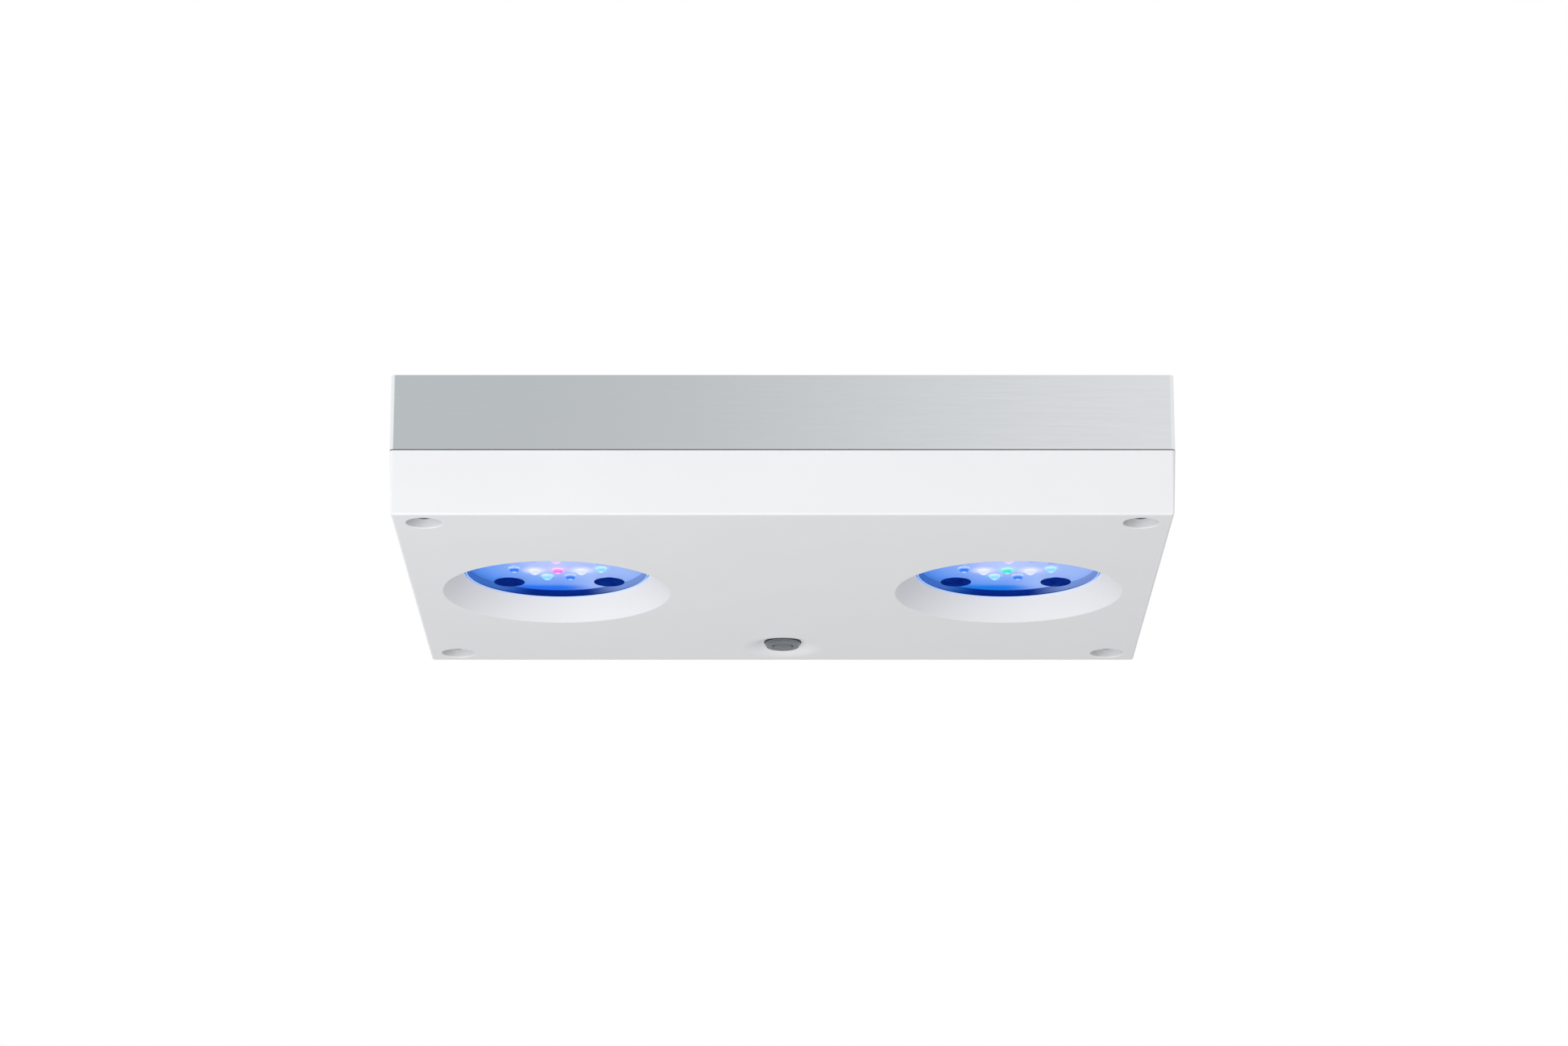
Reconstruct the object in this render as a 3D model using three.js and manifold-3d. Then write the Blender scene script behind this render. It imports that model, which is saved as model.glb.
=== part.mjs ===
// A two-cluster LED aquarium light: a white lower cover with two lens wells, closed above by a
// brushed aluminium casing that holds the heatsink, the fan and the electronics.
// Millimetres, +Z up. The origin is the centre of the flat underside, and the front faces -Y.
import * as THREE from "three";
import { mergeVertices } from "three/addons/utils/BufferGeometryUtils.js";
import Module from "manifold-3d";

const wasm = await Module();
wasm.setup();

// ---- Driving dimensions ----
const WIDTH = 280;
const DEPTH = 203;
const HEIGHT = 52;
const GAP = 0.3; // left between pieces that meet

const COVER_HEIGHT = 23.8;
const COVER_WALL = 4;
const COVER_DRAFT = 0.9; // how far the cover's foot stands in from its top edge, on each side
const CORNER_RADIUS = 1.5;
const FOOT_RADIUS = 1; // rounding of the cover's bottom edge
const CASING_WALL = 2;
const CASING_CHAMFER = 0.3;

const WELL_SPACING = 170; // between the centres of the two lens wells
const WELL_Y = 1.5;
const WELL_RIM_RADIUS = 42.7;
const WELL_THROAT_RADIUS = 35;
const WELL_DEPTH = WELL_RIM_RADIUS - WELL_THROAT_RADIUS; // the well's wall slopes at 45 degrees
const COLLAR_RADIUS = 45;
const COLLAR_TOP = 16.2;
const LENS_SEAT_Z = 8.6;
const LENS_SEAT_RADIUS = 38.6;

const SCREW_X = 128; // the four corner screws stand at +-SCREW_X, +-SCREW_Y
const SCREW_Y = 90;
const SCREW_SEAT_Z = 5.3;
const SCREW_CLEARANCE_RADIUS = 2.75; // for M5
const SCREW_RECESS_RADIUS = 6.4;
const SCREW_BOSS_RADIUS = 7.7;

const BUTTON_Y = 81;
const BUTTON_SEAT_Z = 2.3;
const BUTTON_HOLE_RADIUS = 6.2; // for a 12 mm barrel
const BUTTON_BOSS_RADIUS = 13;
const BUTTON_BOSS_TOP = 5.6;
const FAN_SIZE = 80;
const FAN_HOLE_OFFSET = 35.75; // from the fan's axis to each screw, along X and along Y
const SOCKET_X = 95;
const SOCKET_Z = 39;
const HANGER_X = 105;
const HANGER_Y = 72;

// ---- Heights and planes that follow from them ----
const CASING_FOOT = COVER_HEIGHT + GAP;
const CASING_CEILING = HEIGHT - CASING_WALL;
const PLATE_Z0 = 24.6; // heatsink plate
const PLATE_Z1 = 29.6;
const PLATE_HALF_X = 134;
const PLATE_HALF_Y = 95.5;
const FIN_TOP = 47.5;
const BOARD_Z0 = 14.6; // LED board, whose lower face carries the LEDs
const BOARD_Z1 = 16.2;
const BOARD_RADIUS = 33;
const PEDESTAL_RADIUS = 31;
const PEDESTAL_FOOT = 17.3;
const FAN_Z0 = 34.7;
const FAN_HEIGHT = CASING_CEILING - GAP - FAN_Z0;
const BACK_Y = DEPTH / 2;

const FINE = 36; // segments round a large circle
const MEDIUM = 20;
const COARSE = 12;
const SMALL = 8; // round a hole or a pin

// ---- Materials ----
const finish = (color, roughness, metalness = 0, more = {}) =>
  new THREE.MeshStandardMaterial({ color, roughness, metalness, ...more });

const material = {
  cover: finish(0xeff0f2, 0.5),
  casing: finish(0xc6cacd, 0.35, 1),
  lens: finish(0xbfd4ff, 0.05, 0, { transparent: true, opacity: 0.35 }),
  rubber: finish(0x35383b, 0.8),
  blackPlastic: finish(0x15171a, 0.5),
  ledBoard: finish(0x6f9bf0, 0.4),
  thermalPad: finish(0x8f9aa6, 0.9),
  aluminium: finish(0xb4b8bb, 0.45, 1),
  steel: finish(0x9a9ea2, 0.3, 1),
  blackSteel: finish(0x0a0f24, 0.35, 1),
  brass: finish(0xb58d4a, 0.35, 1),
  button: finish(0x8b9096, 0.3, 1),
  circuitBoard: finish(0x14502f, 0.5),
  nylon: finish(0xdedcd3, 0.6),
  cable: finish(0x1c1c1e, 0.6),
};

// ---- Booleans ----
// A closed geometry as a solid: only its positions count, with the shared corners merged.
function solidOf(geometry) {
  const bare = new THREE.BufferGeometry();
  bare.setAttribute("position", geometry.getAttribute("position"));
  bare.setIndex(geometry.getIndex());
  const merged = mergeVertices(bare, 1e-4);
  return new wasm.Manifold(
    new wasm.Mesh({
      numProp: 3,
      vertProperties: merged.attributes.position.array,
      triVerts: new Uint32Array(merged.index.array),
    }),
  );
}

function geometryOf(solid) {
  const mesh = solid.getMesh();
  const geometry = new THREE.BufferGeometry();
  geometry.setAttribute("position", new THREE.BufferAttribute(mesh.vertProperties, 3));
  geometry.setIndex(new THREE.BufferAttribute(mesh.triVerts, 1));
  geometry.computeVertexNormals();
  return geometry;
}

const joined = (...pieces) => geometryOf(pieces.map(solidOf).reduce((a, b) => a.add(b)));
const cut = (base, ...tools) =>
  geometryOf(tools.map(solidOf).reduce((a, b) => a.subtract(b), solidOf(base)));
const common = (a, b) => geometryOf(solidOf(a).intersect(solidOf(b)));

// ---- Shapes, all standing along Z ----
function block(x0, x1, y0, y1, z0, z1) {
  const box = new THREE.BoxGeometry(x1 - x0, y1 - y0, z1 - z0);
  return box.translate((x0 + x1) / 2, (y0 + y1) / 2, (z0 + z1) / 2);
}

function disc(radius, z0, z1, segments = MEDIUM) {
  const cylinder = new THREE.CylinderGeometry(radius, radius, z1 - z0, segments);
  return cylinder.rotateX(Math.PI / 2).translate(0, 0, (z0 + z1) / 2);
}

// A solid of revolution about Z. The profile's [radius, z] points run up its outer side, and it
// closes along the axis or on itself.
function turned(profile, segments = MEDIUM) {
  const points = profile.map(([radius, z]) => new THREE.Vector2(radius, z));
  return new THREE.LatheGeometry(points, segments).rotateX(Math.PI / 2);
}

const ring = (inner, outer, z0, z1, segments = MEDIUM) =>
  turned([[inner, z0], [outer, z0], [outer, z1], [inner, z1], [inner, z0]], segments);

function roundedRectangle(width, depth, radius) {
  const x = width / 2 - radius;
  const y = depth / 2 - radius;
  const shape = new THREE.Shape();
  shape.absarc(x, y, radius, 0, Math.PI / 2);
  shape.absarc(-x, y, radius, Math.PI / 2, Math.PI);
  shape.absarc(-x, -y, radius, Math.PI, 1.5 * Math.PI);
  shape.absarc(x, -y, radius, 1.5 * Math.PI, 2 * Math.PI);
  shape.closePath();
  return shape;
}

function slab(shape, z0, z1, curveSegments = 3) {
  const options = { depth: z1 - z0, bevelEnabled: false, curveSegments };
  return new THREE.ExtrudeGeometry(shape, options).translate(0, 0, z0);
}

// A slab whose top and bottom edges are rounded, or chamfered when segments is 1.
function easedSlab(shape, z0, z1, edge, segments) {
  const options = {
    depth: z1 - z0 - 2 * edge,
    bevelThickness: edge,
    bevelSize: edge,
    bevelOffset: -edge,
    bevelSegments: segments,
    curveSegments: 3,
  };
  return new THREE.ExtrudeGeometry(shape, options).translate(0, 0, z0 + edge);
}

// A slot with round ends, `length` along X and `width` along Y.
function slot(length, width, z0, z1) {
  const reach = (length - width) / 2;
  const shape = new THREE.Shape();
  shape.absarc(reach, 0, width / 2, -Math.PI / 2, Math.PI / 2);
  shape.absarc(-reach, 0, width / 2, Math.PI / 2, 1.5 * Math.PI);
  shape.closePath();
  return slab(shape, z0, z1);
}

function sweep(path, radius, steps, sides) {
  const corners = [];
  for (let i = 0; i < sides; i++) {
    const angle = (2 * Math.PI * i) / sides;
    corners.push(new THREE.Vector2(radius * Math.cos(angle), radius * Math.sin(angle)));
  }
  return new THREE.ExtrudeGeometry(new THREE.Shape(corners), { steps, extrudePath: path });
}

function tube(points, radius, steps) {
  const path = new THREE.CatmullRomCurve3(points.map((p) => new THREE.Vector3(...p)));
  return sweep(path, radius, steps, 6);
}

const at = (geometry, x, y, z = 0) => geometry.clone().translate(x, y, z);

// One copy of a geometry at each of the four corners (+-x, +-y).
const atCorners = (geometry, x, y) =>
  [[-x, -y], [x, -y], [x, y], [-x, y]].map(([cx, cy]) => at(geometry, cx, cy));

const CORNERS = [
  ["front_left", -1, -1],
  ["front_right", 1, -1],
  ["back_right", 1, 1],
  ["back_left", -1, 1],
];

function piece(name, geometry, look, x = 0, y = 0, z = 0) {
  const mesh = new THREE.Mesh(geometry, look);
  mesh.name = name;
  mesh.position.set(x, y, z);
  return mesh;
}

function group(...children) {
  const made = new THREE.Group();
  made.add(...children);
  return made;
}

// ---- Lower cover ----
// Draws the foot of a geometry in towards the axis, in proportion to how far it is below `top`.
function tapered(geometry, top, inset) {
  const position = geometry.getAttribute("position");
  for (let i = 0; i < position.count; i++) {
    const drop = 1 - position.getZ(i) / top;
    position.setX(i, position.getX(i) * (1 - (drop * inset) / (WIDTH / 2)));
    position.setY(i, position.getY(i) * (1 - (drop * inset) / (DEPTH / 2)));
  }
  return geometry;
}

function wellTool() {
  const below = 1;
  return turned(
    [
      [0, -below],
      [WELL_RIM_RADIUS + below, -below],
      [WELL_THROAT_RADIUS, WELL_DEPTH],
      [WELL_THROAT_RADIUS, LENS_SEAT_Z],
      [LENS_SEAT_RADIUS, LENS_SEAT_Z],
      [LENS_SEAT_RADIUS, COLLAR_TOP + 1],
      [0, COLLAR_TOP + 1],
    ],
    FINE,
  );
}

function coverScrewTool() {
  const below = 1;
  const chamfer = 0.2;
  return turned(
    [
      [0, -below],
      [SCREW_RECESS_RADIUS + chamfer + below, -below],
      [SCREW_RECESS_RADIUS, chamfer],
      [SCREW_RECESS_RADIUS, SCREW_SEAT_Z],
      [SCREW_CLEARANCE_RADIUS, SCREW_SEAT_Z],
      [SCREW_CLEARANCE_RADIUS, COVER_HEIGHT + 1],
      [0, COVER_HEIGHT + 1],
    ],
    COARSE,
  );
}

function buttonDishTool() {
  const below = 1;
  return turned(
    [
      [0, -below],
      [15.2, -below],
      [8.1, BUTTON_SEAT_Z],
      [BUTTON_HOLE_RADIUS, BUTTON_SEAT_Z],
      [BUTTON_HOLE_RADIUS, 8],
      [0, 8],
    ],
    MEDIUM,
  );
}

function lowerCover() {
  const outline = roundedRectangle(WIDTH, DEPTH, CORNER_RADIUS);
  const eased = easedSlab(outline, 0, COVER_HEIGHT + 2 * FOOT_RADIUS, FOOT_RADIUS, 3);
  const outer = tapered(
    common(eased, block(-WIDTH, WIDTH, -DEPTH, DEPTH, 0, COVER_HEIGHT)),
    COVER_HEIGHT,
    COVER_DRAFT,
  );
  const inside = roundedRectangle(WIDTH - 2 * COVER_WALL, DEPTH - 2 * COVER_WALL, 1);
  // The gasket lies in a step cut round the inner edge of the wall's top.
  const step = roundedRectangle(WIDTH - 2 * CASING_WALL, DEPTH - 2 * CASING_WALL, 1);
  const shell = cut(
    outer,
    slab(inside, COVER_WALL, COVER_HEIGHT + 1),
    slab(step, GASKET_Z0 - GAP, COVER_HEIGHT + 1),
  );
  const screwBoss = disc(SCREW_BOSS_RADIUS, 1, COVER_HEIGHT, COARSE);
  const collar = disc(COLLAR_RADIUS, 1, COLLAR_TOP, FINE);
  const filled = joined(
    shell,
    ...atCorners(screwBoss, SCREW_X, SCREW_Y),
    at(collar, -WELL_SPACING / 2, WELL_Y),
    at(collar, WELL_SPACING / 2, WELL_Y),
    at(disc(BUTTON_BOSS_RADIUS, 1, BUTTON_BOSS_TOP), 0, BUTTON_Y),
  );
  return cut(
    filled,
    at(wellTool(), -WELL_SPACING / 2, WELL_Y),
    at(wellTool(), WELL_SPACING / 2, WELL_Y),
    ...atCorners(coverScrewTool(), SCREW_X, SCREW_Y),
    at(buttonDishTool(), 0, BUTTON_Y),
  );
}

// ---- Casing gasket ----
const GASKET_Z0 = 22.2;
const GASKET_Z1 = 26;
const GASKET_THICKNESS = 1.5;

function casingGasket() {
  const outerWidth = WIDTH - 2 * (CASING_WALL + GAP);
  const outerDepth = DEPTH - 2 * (CASING_WALL + GAP);
  const outer = roundedRectangle(outerWidth, outerDepth, 2);
  outer.holes.push(
    roundedRectangle(outerWidth - 2 * GASKET_THICKNESS, outerDepth - 2 * GASKET_THICKNESS, 0.7),
  );
  return slab(outer, GASKET_Z0, GASKET_Z1);
}

// ---- Upper casing ----
const TOP_SLOT_WIDTH = 4.6;
const TOP_SLOT_PITCH = 8;
const TOP_SLOT_FIELD_RADIUS = 36;
const SIDE_SLOTS = 9;
const SIDE_SLOT_HEIGHT = 14;
const SIDE_SLOT_WIDTH = 3.2;
const SIDE_SLOT_PITCH = 10;
const SIDE_SLOT_Z = 38.5; // the slots' middle

// Parallel slots over the fan, each as long as the round field allows.
function topSlots() {
  const slots = [];
  for (let row = -4; row <= 4; row++) {
    const y = row * TOP_SLOT_PITCH;
    const length = 2 * Math.sqrt(TOP_SLOT_FIELD_RADIUS ** 2 - y ** 2);
    slots.push(at(slot(length, TOP_SLOT_WIDTH, CASING_CEILING - 1, HEIGHT + 1), 0, y));
  }
  return slots;
}

// Upright slots that let the air out past the ends of the fins, cut through both end walls.
function sideSlots() {
  const slots = [];
  for (const side of [-1, 1]) {
    for (let i = 0; i < SIDE_SLOTS; i++) {
      const y = (i - (SIDE_SLOTS - 1) / 2) * SIDE_SLOT_PITCH;
      const upright = slot(SIDE_SLOT_HEIGHT, SIDE_SLOT_WIDTH, -3, 3).rotateY(Math.PI / 2);
      slots.push(at(upright, side * (WIDTH / 2 - 1), y, SIDE_SLOT_Z));
    }
  }
  return slots;
}

const FAN_SCREW_HEAD_RADIUS = 3.8;
const FAN_SCREW_HEAD_DEPTH = 1.7;
const FAN_SCREW_CLEARANCE_RADIUS = 2.1; // for M4
const HANGER_RADIUS = 4;

function upperCasing() {
  const outline = roundedRectangle(WIDTH, DEPTH, CORNER_RADIUS);
  const eased = easedSlab(outline, CASING_FOOT - 2, HEIGHT, CASING_CHAMFER, 1);
  const outer = common(eased, block(-WIDTH, WIDTH, -DEPTH, DEPTH, CASING_FOOT, HEIGHT));
  const inside = roundedRectangle(WIDTH - 2 * CASING_WALL, DEPTH - 2 * CASING_WALL, 1);
  const fanScrewTool = turned(
    [
      [0, CASING_CEILING - 1],
      [FAN_SCREW_CLEARANCE_RADIUS, CASING_CEILING - 1],
      [FAN_SCREW_CLEARANCE_RADIUS, HEIGHT - FAN_SCREW_HEAD_DEPTH - GAP],
      [FAN_SCREW_HEAD_RADIUS + 1.6, HEIGHT + 1],
      [0, HEIGHT + 1],
    ],
    COARSE,
  );
  const socketHole = disc(SOCKET_BARREL_RADIUS + GAP, -4, 4).rotateX(Math.PI / 2);
  return cut(
    outer,
    slab(inside, CASING_FOOT - 1, CASING_CEILING),
    ...topSlots(),
    ...sideSlots(),
    ...atCorners(fanScrewTool, FAN_HOLE_OFFSET, FAN_HOLE_OFFSET),
    ...atCorners(
      disc(HANGER_RADIUS + GAP, CASING_CEILING - 1, HEIGHT + 1, COARSE),
      HANGER_X,
      HANGER_Y,
    ),
    at(socketHole, SOCKET_X, BACK_Y, SOCKET_Z),
  );
}

// ---- One light module: lens, seal, retainer, LED board, pad and board screws ----
const LENS_FACE_Z = 8;
const LENS_FLANGE_Z = 10.4;
const LENS_BACK_Z = 12.6;
// Fourteen LEDs: each of the first three places is used four times, at +-x and +-y.
const LED_CORNER_PLACES = [[4.4, 15.2], [8.8, 8.2], [16.4, 5]];
const LED_MIDDLE_Y = 6.8; // the last two LEDs, at x = 0
const BOARD_SCREW_OFFSET = 19;
const BOARD_SCREW_RADIUS = 1.6;
const BOARD_SCREW_HOLE_RADIUS = 1.9;
const BOARD_SCREW_TIP = PEDESTAL_FOOT + 4;
const LEAD_HOLE_X = 25; // from the module's centre, towards the light's middle
const LEAD_HOLE_RADIUS = 2.5;

function lens() {
  const face = WELL_THROAT_RADIUS - GAP;
  const flange = LENS_SEAT_RADIUS - GAP;
  return turned(
    [
      [0, LENS_FACE_Z],
      [face - 0.6, LENS_FACE_Z],
      [face, LENS_FACE_Z + 0.6],
      [face, LENS_FLANGE_Z],
      [flange, LENS_FLANGE_Z],
      [flange, LENS_BACK_Z],
      [0, LENS_BACK_Z],
    ],
    FINE,
  );
}

const lensSeal = () =>
  ring(WELL_THROAT_RADIUS + 0.2, LENS_SEAT_RADIUS - GAP, LENS_SEAT_Z + GAP, LENS_FLANGE_Z - GAP, FINE);

const lensRetainer = () =>
  ring(BOARD_RADIUS + 0.4, LENS_SEAT_RADIUS - GAP, LENS_BACK_Z + GAP, COLLAR_TOP - GAP, FINE);

const LED_HALF_WIDTH = 1.75;
const LED_HEIGHT = 0.6;

// A square package with a domed lens, standing on the board's lower face.
function led() {
  const half = LED_HALF_WIDTH;
  const body = block(-half, half, -half, half, BOARD_Z0 - LED_HEIGHT, BOARD_Z0 + 0.3);
  const dome = turned([[0, -1.1], [1.1, -0.8], [1.5, 0.3], [0, 0.3]], SMALL);
  return joined(body, at(dome, 0, 0, BOARD_Z0 - LED_HEIGHT));
}

function ledBoard() {
  const screwHole = disc(BOARD_SCREW_HOLE_RADIUS, BOARD_Z0 - 1, BOARD_Z1 + 1, SMALL);
  const bare = cut(
    disc(BOARD_RADIUS, BOARD_Z0, BOARD_Z1, FINE),
    ...atCorners(screwHole, BOARD_SCREW_OFFSET, BOARD_SCREW_OFFSET),
  );
  return joined(
    bare,
    ...LED_CORNER_PLACES.flatMap(([x, y]) => atCorners(led(), x, y)),
    at(led(), 0, LED_MIDDLE_Y),
    at(led(), 0, -LED_MIDDLE_Y),
  );
}

function thermalPad(side) {
  const z0 = BOARD_Z1 + GAP;
  const z1 = PEDESTAL_FOOT - GAP;
  const screwHole = disc(BOARD_SCREW_HOLE_RADIUS, z0 - 1, z1 + 1, SMALL);
  return cut(
    disc(PEDESTAL_RADIUS, z0, z1, FINE),
    ...atCorners(screwHole, BOARD_SCREW_OFFSET, BOARD_SCREW_OFFSET),
    at(disc(LEAD_HOLE_RADIUS, z0 - 1, z1 + 1, SMALL), -side * LEAD_HOLE_X, 0),
  );
}

// A black screw with a broad, thin, flat head and a hexagon socket.
function boardScrew() {
  const headTop = BOARD_Z0 - GAP;
  const screw = turned(
    [
      [0, LENS_BACK_Z + GAP],
      [5.7, LENS_BACK_Z + GAP],
      [5.8, LENS_BACK_Z + GAP + 0.1],
      [5.8, LENS_BACK_Z + GAP + 0.4],
      [2.2, headTop],
      [BOARD_SCREW_RADIUS, headTop],
      [BOARD_SCREW_RADIUS, BOARD_SCREW_TIP],
      [0, BOARD_SCREW_TIP],
    ],
    COARSE,
  );
  return cut(screw, disc(1.75, LENS_BACK_Z, headTop - 0.5, 6));
}

function lightModule(name, side) {
  const made = group(
    piece(`lens_${name}`, lens(), material.lens),
    piece(`lens_seal_${name}`, lensSeal(), material.rubber),
    piece(`lens_retainer_${name}`, lensRetainer(), material.blackPlastic),
    piece(`led_board_${name}`, ledBoard(), material.ledBoard),
    piece(`thermal_pad_${name}`, thermalPad(side), material.thermalPad),
  );
  for (const [corner, x, y] of CORNERS) {
    const screw = piece(`board_screw_${name}_${corner}`, boardScrew(), material.blackSteel);
    screw.position.set(x * BOARD_SCREW_OFFSET, y * BOARD_SCREW_OFFSET, 0);
    made.add(screw);
  }
  made.position.set((side * WELL_SPACING) / 2, WELL_Y, 0);
  return made;
}

// ---- Heatsink ----
const FIN_PITCH = 8;
const FIN_THICKNESS = 1.6;
const FIN_ROWS = 14;
const FIN_X0 = 46;
const FIN_X1 = 131;

function fins() {
  const made = [];
  for (let row = 0; row < FIN_ROWS; row++) {
    const y = (row - (FIN_ROWS - 1) / 2) * FIN_PITCH;
    const [y0, y1] = [y - FIN_THICKNESS / 2, y + FIN_THICKNESS / 2];
    made.push(block(FIN_X0, FIN_X1, y0, y1, PLATE_Z1 - 0.5, FIN_TOP));
    made.push(block(-FIN_X1, -FIN_X0, y0, y1, PLATE_Z1 - 0.5, FIN_TOP));
  }
  return made;
}

function heatsink() {
  const plate = block(-PLATE_HALF_X, PLATE_HALF_X, -PLATE_HALF_Y, PLATE_HALF_Y, PLATE_Z0, PLATE_Z1);
  const pedestal = disc(PEDESTAL_RADIUS, PEDESTAL_FOOT, PLATE_Z1 - 1, FINE);
  const tools = atCorners(
    disc(SCREW_CLEARANCE_RADIUS, PLATE_Z0 - 1, PLATE_Z1 + 1, COARSE),
    SCREW_X,
    SCREW_Y,
  );
  for (const side of [-1, 1]) {
    const centre = (side * WELL_SPACING) / 2;
    const screwHole = disc(BOARD_SCREW_HOLE_RADIUS, PEDESTAL_FOOT - 1, BOARD_SCREW_TIP + 1, SMALL);
    for (const hole of atCorners(screwHole, BOARD_SCREW_OFFSET, BOARD_SCREW_OFFSET)) {
      tools.push(at(hole, centre, WELL_Y));
    }
    const leadHole = disc(LEAD_HOLE_RADIUS, PEDESTAL_FOOT - 1, PLATE_Z1 + 1, SMALL);
    tools.push(at(leadHole, centre - side * LEAD_HOLE_X, WELL_Y));
  }
  tools.push(at(disc(BUTTON_LEAD_HOLE_RADIUS, PLATE_Z0 - 1, PLATE_Z1 + 1, SMALL), 0, BUTTON_Y));
  const whole = joined(
    plate,
    ...fins(),
    at(pedestal, -WELL_SPACING / 2, WELL_Y),
    at(pedestal, WELL_SPACING / 2, WELL_Y),
  );
  return cut(whole, ...tools);
}

// ---- Corner posts and the screws that clamp cover, heatsink and casing together ----
const COVER_SCREW_RADIUS = 2.45;
const COVER_SCREW_TIP = 40;

function cornerPost() {
  const post = disc(5.2, PLATE_Z1 + GAP, CASING_CEILING - GAP, COARSE);
  return cut(post, disc(SCREW_CLEARANCE_RADIUS, PLATE_Z1 - 1, COVER_SCREW_TIP + 5, COARSE));
}

function coverScrew() {
  const seat = SCREW_SEAT_Z - GAP;
  const head = 2.75;
  const screw = turned(
    [
      [0, seat - head],
      [2.6, seat - head],
      [4.1, seat - 1.9],
      [4.75, seat - 0.6],
      [4.75, seat],
      [COVER_SCREW_RADIUS, seat],
      [COVER_SCREW_RADIUS, COVER_SCREW_TIP],
      [0, COVER_SCREW_TIP],
    ],
    COARSE,
  );
  return cut(screw, disc(1.75, seat - head - 1, seat - head + 1.6, 6));
}

// ---- Fan ----
const FAN_BORE_RADIUS = 38.2;
const ROTOR_RADIUS = 37;
const ROTOR_HUB_RADIUS = 14;

function fanFrame() {
  const outline = roundedRectangle(FAN_SIZE, FAN_SIZE, 4);
  const box = slab(outline, 0, FAN_HEIGHT);
  const body = cut(
    box,
    disc(FAN_BORE_RADIUS, -1, FAN_HEIGHT + 1, FINE),
    ...atCorners(disc(2, -1, FAN_HEIGHT + 1, SMALL), FAN_HOLE_OFFSET, FAN_HOLE_OFFSET),
  );
  const struts = [0, 1].map((turn) =>
    block(-39, 39, -2, 2, 0, 1.6).rotateZ(Math.PI / 4 + (turn * Math.PI) / 2),
  );
  const base = disc(15, 0, 1.8, MEDIUM);
  return cut(joined(body, base, ...struts), disc(1.9, -1, 3, SMALL));
}

const BLADES = 7;
const BLADE_PITCH = THREE.MathUtils.degToRad(52); // from upright

function fanRotor() {
  const hub = turned([
    [0, 2.4],
    [ROTOR_HUB_RADIUS, 2.4],
    [ROTOR_HUB_RADIUS, 12.6],
    [ROTOR_HUB_RADIUS - 1, 13.6],
    [0, 13.6],
  ]);
  const shaft = disc(1.5, 0.2, 3, SMALL);
  const pieces = [hub, shaft];
  for (let i = 0; i < BLADES; i++) {
    const blade = block(12, 40, -0.6, 0.6, -7.6, 7.6).rotateX(BLADE_PITCH);
    pieces.push(blade.translate(0, 0, 7.9).rotateZ((2 * Math.PI * i) / BLADES));
  }
  return common(joined(...pieces), disc(ROTOR_RADIUS, -1, FAN_HEIGHT, FINE));
}

function fanScrew() {
  return turned(
    [
      [0, FAN_Z0 + 3],
      [1.6, FAN_Z0 + 3],
      [1.6, HEIGHT - FAN_SCREW_HEAD_DEPTH],
      [FAN_SCREW_HEAD_RADIUS - 0.2, HEIGHT - 0.1],
      [0, HEIGHT - 0.1],
    ],
    COARSE,
  );
}

function fan() {
  const made = group(
    piece("fan_frame", fanFrame(), material.blackPlastic),
    piece("fan_rotor", fanRotor(), material.blackPlastic),
  );
  made.position.set(0, 0, FAN_Z0);
  return made;
}

// ---- Driver board behind the fan ----
const DRIVER_X0 = -112;
const DRIVER_X1 = 88;
const DRIVER_Y0 = 64;
const DRIVER_Y1 = 94;
const DRIVER_Z0 = 33;
const DRIVER_Z1 = 34.6;
const SUPPORT_INSET = 4;

function driverBoard() {
  const board = block(DRIVER_X0, DRIVER_X1, DRIVER_Y0, DRIVER_Y1, DRIVER_Z0, DRIVER_Z1);
  const foot = DRIVER_Z1 - 0.5;
  const fitted = [
    block(-14, 14, 72, 90, foot, DRIVER_Z1 + 3.2), // control module
    block(-44.5, -35.5, DRIVER_Y0, 70, foot, DRIVER_Z1 + 6), // left LED connector
    block(35.5, 44.5, DRIVER_Y0, 70, foot, DRIVER_Z1 + 6), // right LED connector
    block(68, 84, 76, 86, foot, DRIVER_Z1 + 7), // power terminal
  ];
  for (const x of [-92, -74, -56, 28, 46]) {
    fitted.push(at(disc(6, foot, DRIVER_Z1 + 7, COARSE), x, 84)); // inductor
  }
  for (const x of [-30, 60]) {
    fitted.push(at(disc(4, foot, DRIVER_Z1 + 11, COARSE), x, 82)); // capacitor
  }
  const holes = supportPlaces().map(([x, y]) => at(disc(1.7, 30, 38, SMALL), x, y));
  return cut(joined(board, ...fitted), ...holes);
}

function supportPlaces() {
  const [x0, x1] = [DRIVER_X0 + SUPPORT_INSET, DRIVER_X1 - SUPPORT_INSET];
  const [y0, y1] = [DRIVER_Y0 + SUPPORT_INSET, DRIVER_Y1 - SUPPORT_INSET];
  return [[x0, y0], [x1, y0], [x1, y1], [x0, y1]];
}

// A nylon support that the board snaps over.
function boardSupport() {
  const foot = PLATE_Z1 + GAP;
  return turned(
    [
      [0, foot],
      [2.8, foot],
      [2.8, DRIVER_Z0 - GAP],
      [1.3, DRIVER_Z0 - GAP],
      [1.3, DRIVER_Z1 + GAP],
      [2, DRIVER_Z1 + GAP],
      [0.8, DRIVER_Z1 + 2.2],
      [0, DRIVER_Z1 + 2.2],
    ],
    SMALL,
  );
}

// ---- Power socket in the back wall, built along Z and turned to face +Y ----
const SOCKET_BARREL_RADIUS = 7;
const SOCKET_BORE_RADIUS = 4.6;
const SOCKET_FLANGE_RADIUS = 8.8;
const SOCKET_FLANGE = 0.8;
const SOCKET_DEPTH = 15;
const SOCKET_TERMINAL_END = 18;

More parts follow.
